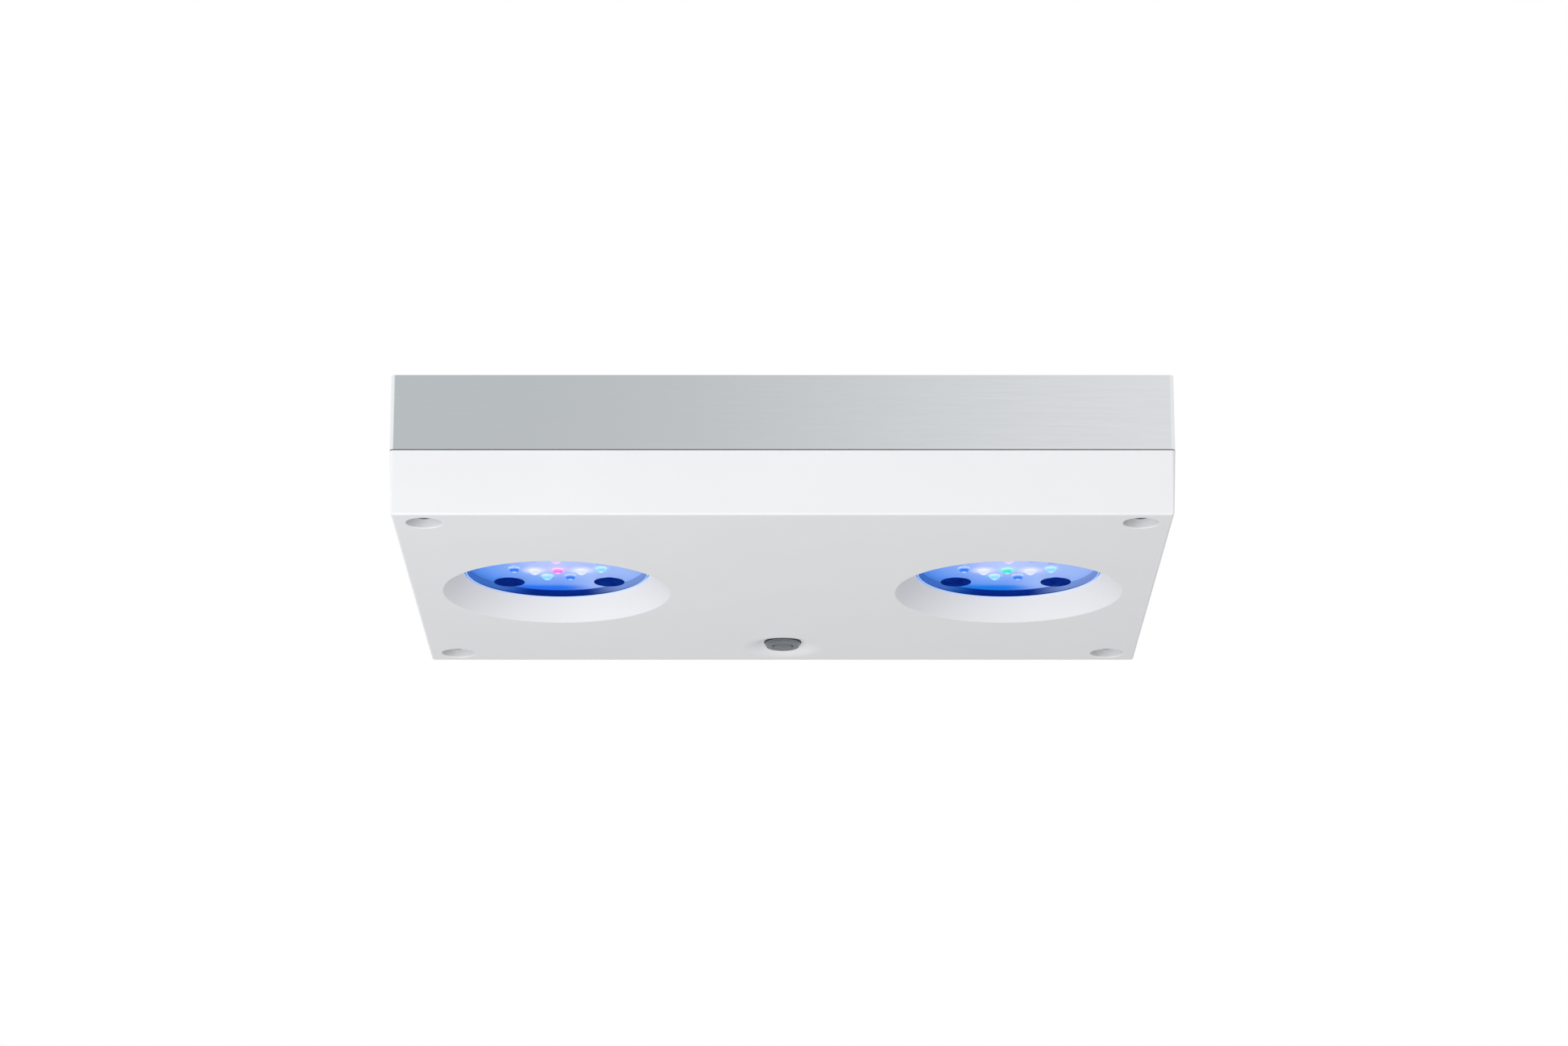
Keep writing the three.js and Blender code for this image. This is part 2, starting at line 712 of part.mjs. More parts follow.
function powerSocket() {
  const face = GAP + SOCKET_FLANGE; // measured out from the back wall's face
  const body = turned(
    [
      [0, -SOCKET_DEPTH],
      [SOCKET_BARREL_RADIUS, -SOCKET_DEPTH],
      [SOCKET_BARREL_RADIUS, GAP],
      [SOCKET_FLANGE_RADIUS, GAP],
      [SOCKET_FLANGE_RADIUS, face],
      [SOCKET_BORE_RADIUS, face],
      [SOCKET_BORE_RADIUS, face - 7.5],
      [0, face - 7.5],
    ],
    MEDIUM,
  );
  const terminal = disc(1, -SOCKET_TERMINAL_END, 1 - SOCKET_DEPTH, SMALL);
  return joined(body, at(terminal, -2.5, 0), at(terminal, 2.5, 0));
}

const socketNut = () =>
  cut(disc(9.2, -6.2, -CASING_WALL - GAP, 6), disc(SOCKET_BARREL_RADIUS + GAP, -8, 0, MEDIUM));

function socket() {
  const made = group(
    piece("power_socket", powerSocket(), material.blackPlastic),
    piece("socket_nut", socketNut(), material.steel),
  );
  made.rotation.x = -Math.PI / 2;
  made.position.set(SOCKET_X, BACK_Y, SOCKET_Z);
  return made;
}

// ---- Push button ----
const BUTTON_FACE_Z = 0.2;
const BEZEL_RADIUS = 6.45;
const BEZEL_FLANGE_RADIUS = 7;
const BARREL_RADIUS = 5.9;
const CAP_RADIUS = 3.7;
const STEM_RADIUS = 1.3;
const STEM_TOP = 8;
const BUTTON_SEAL_Z = 1.8;
const SPRING_FOOT = 3.7;
const SPRING_HEAD = 12.7;
const BUTTON_TOP = 16;
const BUTTON_LEAD_HOLE_RADIUS = 3.5;

function buttonBezel() {
  return turned(
    [
      [CAP_RADIUS + GAP + 0.4, BUTTON_FACE_Z],
      [BEZEL_RADIUS - 0.3, BUTTON_FACE_Z],
      [BEZEL_RADIUS, BUTTON_FACE_Z + 0.3],
      [BEZEL_RADIUS, 1.1],
      [BEZEL_FLANGE_RADIUS, 1.3],
      [BEZEL_FLANGE_RADIUS, BUTTON_SEAL_Z - 0.1],
      [BARREL_RADIUS, BUTTON_SEAL_Z - 0.1],
      [BARREL_RADIUS, BUTTON_TOP],
      [0, BUTTON_TOP],
      [0, SPRING_HEAD + GAP],
      [3.3, SPRING_HEAD + GAP],
      [3.3, 5],
      [CAP_RADIUS + GAP, 5],
      [CAP_RADIUS + GAP, BUTTON_FACE_Z + 0.4],
      [CAP_RADIUS + GAP + 0.4, BUTTON_FACE_Z],
    ],
    MEDIUM,
  );
}

const buttonCap = () =>
  turned(
    [
      [0, BUTTON_FACE_Z],
      [CAP_RADIUS, BUTTON_FACE_Z],
      [CAP_RADIUS, SPRING_FOOT - GAP],
      [STEM_RADIUS, SPRING_FOOT - GAP],
      [STEM_RADIUS, STEM_TOP],
      [0, STEM_TOP],
    ],
    MEDIUM,
  );

class Helix extends THREE.Curve {
  constructor(radius, z0, z1, turns) {
    super();
    Object.assign(this, { radius, z0, z1, turns });
  }

  getPoint(t, target = new THREE.Vector3()) {
    const angle = 2 * Math.PI * this.turns * t;
    const z = this.z0 + (this.z1 - this.z0) * t;
    return target.set(this.radius * Math.cos(angle), this.radius * Math.sin(angle), z);
  }
}

function buttonSpring() {
  const wire = 0.3;
  const coil = new Helix(2.3, SPRING_FOOT + wire, SPRING_HEAD - wire, 4);
  return sweep(coil, wire, 40, 5);
}

const buttonSeal = () =>
  ring(BUTTON_HOLE_RADIUS + 0.05, BEZEL_FLANGE_RADIUS + 0.3, BUTTON_SEAL_Z, BUTTON_SEAT_Z - 0.1);

const buttonNut = () =>
  cut(
    disc(9, BUTTON_BOSS_TOP + GAP, BUTTON_BOSS_TOP + 3, 6),
    disc(BUTTON_HOLE_RADIUS, BUTTON_BOSS_TOP, BUTTON_BOSS_TOP + 4),
  );

function button() {
  const made = group(
    piece("button_bezel", buttonBezel(), material.button),
    piece("button_cap", buttonCap(), material.button),
    piece("button_spring", buttonSpring(), material.steel),
    piece("button_seal", buttonSeal(), material.rubber),
    piece("button_nut", buttonNut(), material.steel),
  );
  made.position.set(0, BUTTON_Y, 0);
  return made;
}

// ---- Hanger inserts, flush with the top ----
const HANGER_BORE_RADIUS = 2.5; // stands for an M5 thread
const HANGER_FLANGE_RADIUS = 6;
const HANGER_FOOT = 44;

function hangerInsert() {
  return turned(
    [
      [HANGER_BORE_RADIUS, HANGER_FOOT],
      [HANGER_FLANGE_RADIUS, HANGER_FOOT],
      [HANGER_FLANGE_RADIUS, CASING_CEILING - GAP],
      [HANGER_RADIUS, CASING_CEILING - GAP],
      [HANGER_RADIUS, HEIGHT],
      [HANGER_BORE_RADIUS, HEIGHT],
      [HANGER_BORE_RADIUS, HANGER_FOOT],
    ],
    COARSE,
  );
}

// ---- Leads inside the casing ----
const LEAD_RADIUS = 1.3;

// From the LED board's back, up through the heatsink and under the fan to the driver board.
function ledLead(side) {
  const x = side * (WELL_SPACING / 2 - LEAD_HOLE_X);
  return tube(
    [
      [x, WELL_Y, BOARD_Z1 + GAP],
      [x, WELL_Y, 24],
      [x, WELL_Y, 30.5],
      [x - side * 3, WELL_Y, 33.4],
      [side * 46, WELL_Y, 33.4],
      [side * 43, 4, 33.2],
      [side * 42.8, 12, 33],
      [side * 43, 30, 32.6],
      [side * 43, 50, 32.8],
      [side * 41, 58, 35],
      [side * 40, 61.4, 37.2],
      [side * 40, DRIVER_Y0 - GAP, 37.6],
    ],
    LEAD_RADIUS,
    30,
  );
}

const fanLead = () =>
  tube(
    [
      [22, FAN_SIZE / 2 + GAP, 37],
      [22, 46, 37.2],
      [21.6, 52, 40],
      [20, 58, 43],
      [18, 66, 42.4],
      [17, 69.4, 38.6],
      [17, 69.6, DRIVER_Z1 + GAP],
    ],
    1.1,
    14,
  );

const buttonLead = () =>
  tube(
    [
      [0, BUTTON_Y, BUTTON_TOP + GAP],
      [0, BUTTON_Y, 20],
      [0, BUTTON_Y + 0.3, 24],
      [0, BUTTON_Y, 28],
      [0, BUTTON_Y, DRIVER_Z0 - GAP],
    ],
    LEAD_RADIUS,
    5,
  );

const powerLead = () =>
  tube(
    [
      [SOCKET_X, BACK_Y - SOCKET_TERMINAL_END - GAP, SOCKET_Z],
      [SOCKET_X - 0.3, BACK_Y - 20, SOCKET_Z],
      [SOCKET_X - 4, BACK_Y - 21, SOCKET_Z + 0.2],
      [SOCKET_X - 8, BACK_Y - 20.6, SOCKET_Z],
      [84 + GAP, BACK_Y - 20.5, SOCKET_Z],
    ],
    LEAD_RADIUS,
    8,
  );

// ---- The whole light ----
const light = group(
  piece("lower_cover", lowerCover(), material.cover),
  piece("upper_casing", upperCasing(), material.casing),
  piece("casing_gasket", casingGasket(), material.rubber),
  piece("heatsink", heatsink(), material.aluminium),
  piece("driver_board", driverBoard(), material.circuitBoard),
  piece("led_lead_left", ledLead(-1), material.cable),
  piece("led_lead_right", ledLead(1), material.cable),
  piece("fan_lead", fanLead(), material.cable),
  piece("button_lead", buttonLead(), material.cable),
  piece("power_lead", powerLead(), material.cable),
  lightModule("left", -1),
  lightModule("right", 1),
  fan(),
  socket(),
  button(),
);

for (const [corner, x, y] of CORNERS) {
  const [screwX, screwY] = [x * SCREW_X, y * SCREW_Y];
  const [fanX, fanY] = [x * FAN_HOLE_OFFSET, y * FAN_HOLE_OFFSET];
  light.add(
    piece(`corner_post_${corner}`, cornerPost(), material.aluminium, screwX, screwY),
    piece(`cover_screw_${corner}`, coverScrew(), material.steel, screwX, screwY),
    piece(`fan_screw_${corner}`, fanScrew(), material.steel, fanX, fanY),
    piece(`hanger_insert_${corner}`, hangerInsert(), material.brass, x * HANGER_X, y * HANGER_Y),
  );
}
supportPlaces().forEach(([x, y], i) => {
  light.add(piece(`board_support_${CORNERS[i][0]}`, boardSupport(), material.nylon, x, y));
});

export default light;
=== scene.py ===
"""The looks of a two-cluster LED aquarium light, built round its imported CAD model.

The light hangs level with its underside at z = 0 and is seen from below, from the front.
Shapes are worked out in millimetres and written in metres.
"""
import math

import bmesh
import bpy
from mathutils import Matrix, Vector


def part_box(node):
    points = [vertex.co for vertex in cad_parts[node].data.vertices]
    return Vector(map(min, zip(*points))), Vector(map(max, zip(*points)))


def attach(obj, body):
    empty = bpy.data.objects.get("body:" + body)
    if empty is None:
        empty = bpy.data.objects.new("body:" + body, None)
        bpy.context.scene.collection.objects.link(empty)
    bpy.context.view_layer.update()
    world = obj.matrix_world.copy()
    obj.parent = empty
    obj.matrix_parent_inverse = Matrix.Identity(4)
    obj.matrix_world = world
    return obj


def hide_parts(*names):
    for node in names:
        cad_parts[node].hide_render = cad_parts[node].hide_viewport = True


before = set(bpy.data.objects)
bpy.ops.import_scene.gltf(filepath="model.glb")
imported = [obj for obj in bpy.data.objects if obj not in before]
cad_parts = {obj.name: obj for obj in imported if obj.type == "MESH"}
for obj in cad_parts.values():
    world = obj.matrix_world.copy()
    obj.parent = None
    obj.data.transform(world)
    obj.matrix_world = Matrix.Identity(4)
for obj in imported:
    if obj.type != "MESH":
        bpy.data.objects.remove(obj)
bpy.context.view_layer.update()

MM = 0.001
CORNERS = ["front_left", "front_right", "back_right", "back_left"]
SIDES = {"left": -1, "right": 1}  # each module's side, and the way to it along X


def cad(node):
    """A CAD node's lowest and highest corner, in millimetres."""
    low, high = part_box(node)
    return low / MM, high / MM


def middle(node):
    """The middle of a CAD node's box, in millimetres."""
    low, high = cad(node)
    return (low + high) / 2


# ---------------------------------------------------------------- outlines
def arc(centre, radius, start, end, steps):
    """Points round part of a circle, both ends included; the angles are in degrees."""
    angles = [math.radians(start + (end - start) * i / steps) for i in range(steps + 1)]
    return [(centre[0] + radius * math.cos(a), centre[1] + radius * math.sin(a)) for a in angles]


def circle(radius, count):
    return [
        (radius * math.cos(2 * math.pi * i / count), radius * math.sin(2 * math.pi * i / count))
        for i in range(count)
    ]


def rounded_rectangle(width, depth, radius, steps=6):
    x, y = width / 2 - radius, depth / 2 - radius
    corners = [((x, y), 0), ((-x, y), 90), ((-x, -y), 180), ((x, -y), 270)]
    return [p for c, a in corners for p in arc(c, radius, a, a + 90, steps)]


def stadium(length, width):
    """A slot's outline: `length` along X and `width` along Y, with round ends."""
    reach, radius, steps = (length - width) / 2, width / 2, 8
    return arc((reach, 0), radius, -90, 90, steps) + arc((-reach, 0), radius, 90, 270, steps)


def polygon(count, across):
    """A regular polygon, `across` from flat to flat."""
    radius = across / 2 / math.cos(math.pi / count)
    return [
        (
            radius * math.cos(2 * math.pi * (i + 0.5) / count),
            radius * math.sin(2 * math.pi * (i + 0.5) / count),
        )
        for i in range(count)
    ]


def rounded(points, steps=4):
    """Rounds an outline's corners. Each point is (x, y) or (x, y, radius); the ends stay sharp."""
    made = []
    for i, point in enumerate(points):
        here = Vector(point[:2])
        radius = point[2] if len(point) > 2 else 0
        if not radius or i in (0, len(points) - 1):
            made.append(tuple(here))
            continue
        back = (Vector(points[i - 1][:2]) - here).normalized()
        ahead = (Vector(points[i + 1][:2]) - here).normalized()
        half = back.angle(ahead) / 2
        centre = here + (back + ahead).normalized() * radius / math.sin(half)
        first = here + back * radius / math.tan(half) - centre
        last = here + ahead * radius / math.tan(half) - centre
        for step in range(steps + 1):
            made.append(tuple(centre + first.slerp(last, step / steps).normalized() * radius))
    return made


# ---------------------------------------------------------------- meshes
def new_object(name, mesh):
    thing = bpy.data.objects.new(name, mesh)
    bpy.context.scene.collection.objects.link(thing)
    return thing


def loft(rings, closed=False):
    """A mesh through rings of points in millimetres, capped at both ends unless it closes."""
    mesh = bmesh.new()
    loops = [[mesh.verts.new(Vector(p) * MM) for p in ring] for ring in rings]
    pairs = list(zip(loops, loops[1:])) + ([(loops[-1], loops[0])] if closed else [])
    for low, high in pairs:
        for i in range(len(low)):
            j = (i + 1) % len(low)
            mesh.faces.new((low[i], low[j], high[j], high[i]))
    if not closed:
        mesh.faces.new(loops[0][::-1])
        mesh.faces.new(loops[-1])
    bmesh.ops.recalc_face_normals(mesh, faces=mesh.faces)
    return mesh


def to_object(name, *meshes):
    """One object that holds copies of the given bmeshes, which are used up."""
    data = bpy.data.meshes.new(name)
    whole = bmesh.new()
    for mesh in meshes:
        mesh.to_mesh(data)
        whole.from_mesh(data)
        mesh.free()
    whole.to_mesh(data)
    whole.free()
    return new_object(name, data)


def copy_at(mesh, x, y, z=0.0, turn=None):
    """A copy of a bmesh, turned and then moved, in millimetres."""
    made = mesh.copy()
    if turn:
        bmesh.ops.transform(made, matrix=turn, verts=made.verts)
    bmesh.ops.translate(made, vec=Vector((x, y, z)) * MM, verts=made.verts)
    return made


def turned(profile, segments=96):
    """A solid of revolution about Z from [radius, z] points; both ends of the profile lie on the
    axis, or it closes on itself."""
    ring = circle(1, segments)
    tiny = 1e-3
    closed = math.dist(profile[0][:2], profile[-1][:2]) < tiny
    points = profile[:-1] if closed else profile
    rings = [[(max(r, tiny) * x, max(r, tiny) * y, z) for x, y in ring] for r, z in points]
    mesh = loft(rings, closed)
    bmesh.ops.remove_doubles(mesh, verts=mesh.verts, dist=4 * tiny * MM)
    return mesh


def rod(radius, z0, z1, segments):
    """A plain upright cylinder."""
    return turned([(0, z0), (radius, z0), (radius, z1), (0, z1)], segments)


EASE_STEPS = 3  # faces across each rounded edge of a prism


def prism(outline, z0, z1, ease=0.0, flare=0.0):
    """An upright prism. outline(grow) gives its section, grown by that much all round. `ease`
    rounds both its ends; `flare` widens it towards z1, so that a cut made with it has a rounded
    mouth there."""
    sections = []
    if ease:
        quarter = arc((0, 0), ease, 0, 90, EASE_STEPS)
        sections += [(y - ease, z0 + ease - x) for x, y in quarter]
        sections += [(y - ease, z1 - ease + x) for x, y in quarter]
        sections.sort(key=lambda section: section[1])
    elif flare:
        away = 1 if z1 > z0 else -1
        quarter = arc((0, 0), flare, 0, 90, EASE_STEPS)
        sections = [(0, z0)] + [(flare - x, z1 - away * (flare - y)) for x, y in quarter]
        sections.append((flare, z1 + away))
    else:
        sections = [(0, z0), (0, z1)]
    return loft([[(x, y, z) for x, y in outline(grow)] for grow, z in sections])


def boolean(base, operation, tool):
    """Joins the tool to the base, or cuts it out of the base, and deletes the tool."""
    step = base.modifiers.new("boolean", "BOOLEAN")
    step.object = tool
    step.operation = operation
    step.solver = "EXACT"
    made = bpy.data.meshes.new_from_object(
        base.evaluated_get(bpy.context.evaluated_depsgraph_get())
    )
    base.modifiers.clear()
    base.data = made
    bpy.data.objects.remove(tool)
    return base


def cut(base, *tools):
    return boolean(base, "DIFFERENCE", to_object("tool", *tools))


def joined(base, *tools):
    for tool in tools:
        boolean(base, "UNION", to_object("tool", tool))
    return base


SHARP_ANGLE = 38  # degrees; two faces that meet at more than this have a sharp edge


def dress(piece, material, body, replaces=()):
    """Gives a finished piece its smooth shading, material, body and slot."""
    mesh = piece.data
    mesh.materials.clear()
    mesh.materials.append(material)
    mesh.shade_smooth()
    mesh.set_sharp_from_angle(angle=math.radians(SHARP_ANGLE))
    weighted = piece.modifiers.new("weighted normals", "WEIGHTED_NORMAL")
    weighted.keep_sharp = True
    weighted.weight = 100
    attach(piece, body)
    if replaces:
        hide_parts(*replaces)
    return piece


# ---------------------------------------------------------------- materials
class Nodes:
    """The node tree of a new material or world, with short ways to add to it."""

    def __init__(self, name, collection=bpy.data.materials, shader="Principled BSDF"):
        self.made = collection.new(name)
        self.made.use_nodes = True
        self.tree = self.made.node_tree
        self.shader = self.tree.nodes[shader]

    def add(self, kind, **settings):
        node = self.tree.nodes.new(kind)
        for key, value in settings.items():
            if key in node.inputs:
                node.inputs[key].default_value = value
            else:
                setattr(node, key, value)
        return node

    def link(self, out, into):
        self.tree.links.new(out, into)

    def place(self, scale=(1, 1, 1)):
        """Object coordinates, stretched by `scale`."""
        where = self.add("ShaderNodeTexCoord")
        mapping = self.add("ShaderNodeMapping")
        mapping.inputs["Scale"].default_value = scale
        self.link(where.outputs["Object"], mapping.inputs["Vector"])
        return mapping.outputs["Vector"]

    def along(self, axis):
        """How far along X, Y or Z a point is, in metres."""
        split = self.add("ShaderNodeSeparateXYZ")
        self.link(self.place(), split.inputs[0])
        return split.outputs[axis]

    def noise(self, scale, stretch=(1, 1, 1), detail=3.0):
        node = self.add("ShaderNodeTexNoise", Scale=scale, Detail=detail)
        self.link(self.place(stretch), node.inputs["Vector"])
        return node.outputs["Fac"]

    def ramp(self, value, *stops):
        """A colour or grey ramp over (position, colour) stops."""
        node = self.add("ShaderNodeValToRGB")
        elements = node.color_ramp.elements
        while len(elements) < len(stops):
            elements.new(0.5)
        for element, (position, colour) in zip(elements, stops):
            element.position = position
            grey = isinstance(colour, (int, float))
            element.color = (colour,) * 3 + (1,) if grey else (*colour, 1)
        self.link(value, node.inputs["Fac"])
        return node.outputs["Color"]

    def math(self, operation, *values):
        node = self.add("ShaderNodeMath", operation=operation)
        for socket, value in zip(node.inputs, values):
            if isinstance(value, (int, float)):
                socket.default_value = value
            else:
                self.link(value, socket)
        return node.outputs[0]

    def mix(self, factor, a, b):
        """Colour a blended to colour b; each is a colour or a socket."""
        node = self.add("ShaderNodeMix", data_type="RGBA")
        for socket, value in ((node.inputs[0], factor), (node.inputs[6], a), (node.inputs[7], b)):
            if isinstance(value, bpy.types.NodeSocket):
                self.link(value, socket)
            else:
                socket.default_value = (*value, 1) if isinstance(value, tuple) else value
        return node.outputs[2]

    def remap(self, value, low, high, at_low, at_high, interpolation="LINEAR"):
        """A value from low to high, changed to go from at_low to at_high and held beyond them."""
        node = self.add("ShaderNodeMapRange", interpolation_type=interpolation)
        node.inputs["From Min"].default_value = low
        node.inputs["From Max"].default_value = high
        node.inputs["To Min"].default_value = at_low
        node.inputs["To Max"].default_value = at_high
        self.link(value, node.inputs["Value"])
        return node.outputs["Result"]

    def spread(self, value, start, end):
        """A smooth 0 to 1 as a value in metres goes from start to end, which are millimetres."""
        low, high = sorted((start * MM, end * MM))
        at_low, at_high = (1.0, 0.0) if start > end else (0.0, 1.0)
        return self.remap(value, low, high, at_low, at_high, "SMOOTHSTEP")

    def bump(self, height, distance):
        """Bumps of `distance` metres from a height between 0 and 1."""
        node = self.add("ShaderNodeBump", Strength=1.0, Distance=distance)
        self.link(height, node.inputs["Height"])
        self.link(node.outputs["Normal"], self.shader.inputs["Normal"])

    def set(self, **values):
        for key, value in values.items():
            self.shader.inputs[key.replace("_", " ")].default_value = value

    def glow(self, colour, strength, unlit_share, unlit=(0, 0, 0)):
        """A matt surface that gives off this colour. Its own colour, which other light shows, is
        the same one blended towards `unlit`, and unlit_share says how far."""
        self.link(colour, self.shader.inputs["Emission Color"])
        self.link(self.mix(unlit_share, colour, unlit), self.shader.inputs["Base Color"])
        self.set(Emission_Strength=strength, Specular_IOR_Level=0.0)


def tones(colour, change):
    """A colour made lighter and darker by a share of itself."""
    light = tuple(min(1, c * (1 + change)) for c in colour)
    dark = tuple(c * (1 - change) for c in colour)
    return light, dark


GRAIN_DEPTH = 4e-6
MACHINING_DEPTH = 3e-6
BRUSHING_DEPTH = 1e-6


def moulded(name, colour, roughness, grain=2500, variation=0.03):
    """Moulded plastic or rubber: a fine grain and a faint unevenness of colour."""
    nodes = Nodes(name)
    light, dark = tones(colour, variation)
    patch = nodes.noise(30, detail=2)
    nodes.link(
        nodes.ramp(patch, (0.35, dark), (0.65, light)),
        nodes.shader.inputs["Base Color"],
    )
    fine = nodes.noise(grain, detail=2)
    nodes.link(
        nodes.ramp(fine, (0.3, roughness - 0.04), (0.7, roughness + 0.04)),
        nodes.shader.inputs["Roughness"],
    )
    nodes.bump(fine, GRAIN_DEPTH)
    return nodes.made


def brushed_aluminium():
    """Straight brushing: along X on the long faces and the top, along Y on the two end walls."""
    nodes = Nodes("brushed_aluminium")
    normal = nodes.add("ShaderNodeNewGeometry").outputs["Normal"]
    split = nodes.add("ShaderNodeSeparateXYZ")
    nodes.link(normal, split.inputs[0])
    on_end = nodes.math("GREATER_THAN", nodes.math("ABSOLUTE", split.outputs["X"]), 0.8)

    def streaks(length, width, detail):
        """Grey streaks, `length` by `width` in millimetres."""
        along, across = 1 / (length * MM), 1 / (width * MM)
        lines = nodes.noise(1, (along, across, across), detail)
        end_lines = nodes.noise(1, (across, along, across), detail)
        both = nodes.add("ShaderNodeMix", data_type="FLOAT")
        nodes.link(on_end, both.inputs[0])
        nodes.link(lines, both.inputs[2])
        nodes.link(end_lines, both.inputs[3])
        return both.outputs[0]

    long_streaks = streaks(30, 0.9, 2)
    fine_streaks = streaks(9, 0.3, 2)
    marks = nodes.math("MULTIPLY_ADD", long_streaks, 0.5, nodes.math("MULTIPLY", fine_streaks, 0.5))
    nodes.link(
        nodes.ramp(marks, (0.3, (0.765, 0.775, 0.79)), (0.7, (0.795, 0.805, 0.82))),
        nodes.shader.inputs["Base Color"],
    )
    nodes.link(nodes.ramp(marks, (0.3, 0.175), (0.7, 0.15)), nodes.shader.inputs["Roughness"])
    nodes.bump(fine_streaks, BRUSHING_DEPTH)
    nodes.set(Metallic=1.0)
    return nodes.made


def machined(name, colour, roughness, tone=0.08):
    """Machined or turned metal, with fine marks and slight changes of tone."""
    nodes = Nodes(name)
    marks = nodes.noise(900)
    light, dark = tones(colour, tone)
    nodes.link(nodes.ramp(marks, (0.3, dark), (0.7, light)), nodes.shader.inputs["Base Color"])
    nodes.link(
        nodes.ramp(marks, (0.3, roughness + 0.05), (0.7, roughness - 0.05)),
        nodes.shader.inputs["Roughness"],
    )
    nodes.bump(marks, MACHINING_DEPTH)
    nodes.set(Metallic=1.0)
    return nodes.made


def glowing(name, colour, strength):
    """A surface that is seen by its own light, a little uneven."""
    nodes = Nodes(name)
    patch = nodes.noise(400, detail=2)
    dark = tuple(c * 0.92 for c in colour)
    nodes.glow(nodes.ramp(patch, (0.35, dark), (0.65, colour)), strength, 0.5, colour)
    nodes.set(Roughness=0.4)
    return nodes.made


def lens_glass():
    """Clear glass that bends light and mirrors little of it, as coated glass does. What it does
    mirror looks blue."""
    clear, coating = (0.97, 0.985, 1.0, 1), (0.12, 0.3, 1.0, 1)
    mirrored_share = 0.06
    nodes = Nodes("lens_glass")
    nodes.tree.nodes.remove(nodes.shader)
    through = nodes.add("ShaderNodeBsdfRefraction", IOR=1.49, Roughness=0.0)
    through.inputs["Color"].default_value = clear
    mirror = nodes.add("ShaderNodeBsdfGlossy", Roughness=0.03)
    mirror.inputs["Color"].default_value = coating
    fresnel = nodes.add("ShaderNodeFresnel", IOR=1.3)
    share = nodes.math("MULTIPLY", fresnel.outputs[0], mirrored_share)
    mixed = nodes.add("ShaderNodeMixShader")
    nodes.link(share, mixed.inputs[0])
    nodes.link(through.outputs[0], mixed.inputs[1])
    nodes.link(mirror.outputs[0], mixed.inputs[2])
    nodes.link(mixed.outputs[0], nodes.tree.nodes["Material Output"].inputs["Surface"])
    return nodes.made


COVER_WHITE = moulded("cover_white", (0.88, 0.885, 0.9), 0.42, variation=0.006)
CASING = brushed_aluminium()
LENS = lens_glass()
RUBBER = moulded("seal_rubber", (0.05, 0.053, 0.058), 0.7)
GASKET = moulded("gasket_silicone", (0.36, 0.37, 0.385), 0.6)
BLACK_PLASTIC = moulded("black_plastic", (0.014, 0.015, 0.017), 0.42)
NYLON = moulded("nylon", (0.72, 0.72, 0.69), 0.5)
PAD = moulded("thermal_pad", (0.24, 0.3, 0.38), 0.85)
SHEATH = moulded("lead_sheath", (0.016, 0.016, 0.018), 0.5)
CIRCUIT_BOARD = moulded("circuit_board", (0.012, 0.1, 0.04), 0.35)
HEATSINK = machined("heatsink", (0.62, 0.63, 0.65), 0.4)
STEEL = machined("screw_steel", (0.56, 0.57, 0.59), 0.3)
DARK_STEEL = machined("dark_screw_steel", (0.16, 0.165, 0.175), 0.34)
BRASS = machined("insert_brass", (0.72, 0.5, 0.2), 0.3)
BUTTON_METAL = machined("button_metal", (0.33, 0.36, 0.375), 0.38, tone=0.02)
BUTTON_FACE = machined("button_face", (0.27, 0.275, 0.31), 0.34, tone=0.02)


# ---------------------------------------------------------------- white cover
CORNER_RADIUS = 1.5
INNER_CORNER_RADIUS = 0.7
CORE_INSET = 60.0  # how far in from its outline a shell's profile starts and ends
COVER_WALL = 4.0
LIP_WALL = 2.0  # the thickness of the lip round the rim
LIP_FOOT_Z = 21.9
DRAFT = 0.9
FOOT_RADIUS = 1.0
WELL_RIM_RADIUS = 42.7
WELL_THROAT_RADIUS = 35.0
LENS_SEAT_Z = 8.6
LENS_SEAT_RADIUS = 38.6
COLLAR_RADIUS = 45.0
COLLAR_TOP = 16.2
BUTTON_SEAT_Z = 2.3
BUTTON_DISH_RADIUS = 13.2
BUTTON_SEAT_RADIUS = 8.1
BUTTON_BORE_RADIUS = 6.2
BUTTON_BOSS_RADIUS = 13.0
BUTTON_BOSS_TOP = 5.6
SCREW_RECESS_RADIUS = 6.4
SCREW_SEAT_Z = 5.3
SCREW_BORE_RADIUS = 2.75
SCREW_BOSS_RADIUS = 7.7
BOSS_FOOT_Z = 3.0  # inside the floor, so that what stands there joins it
TOOL_START_Z = -3.0  # below the underside, where a cutting tool starts


def shell(name, section, width, depth):
    """A round-cornered shell from (inset from the widest outline, height) points."""
    rings = []
    for inset, z in section:
        corner = max(CORNER_RADIUS - inset, INNER_CORNER_RADIUS)
        outline = rounded_rectangle(width - 2 * inset, depth - 2 * inset, corner)
        rings.append([(x, y, z) for x, y in outline])
    return to_object(name, loft(rings))


def mouth(radius, skirt, rounding):
    """How a cutting tool's profile starts, to round the edge of the hole in the underside."""
    wide = radius + skirt
    return [(0, TOOL_START_Z), (wide, TOOL_START_Z), (wide, 0), (radius, 0, rounding)]


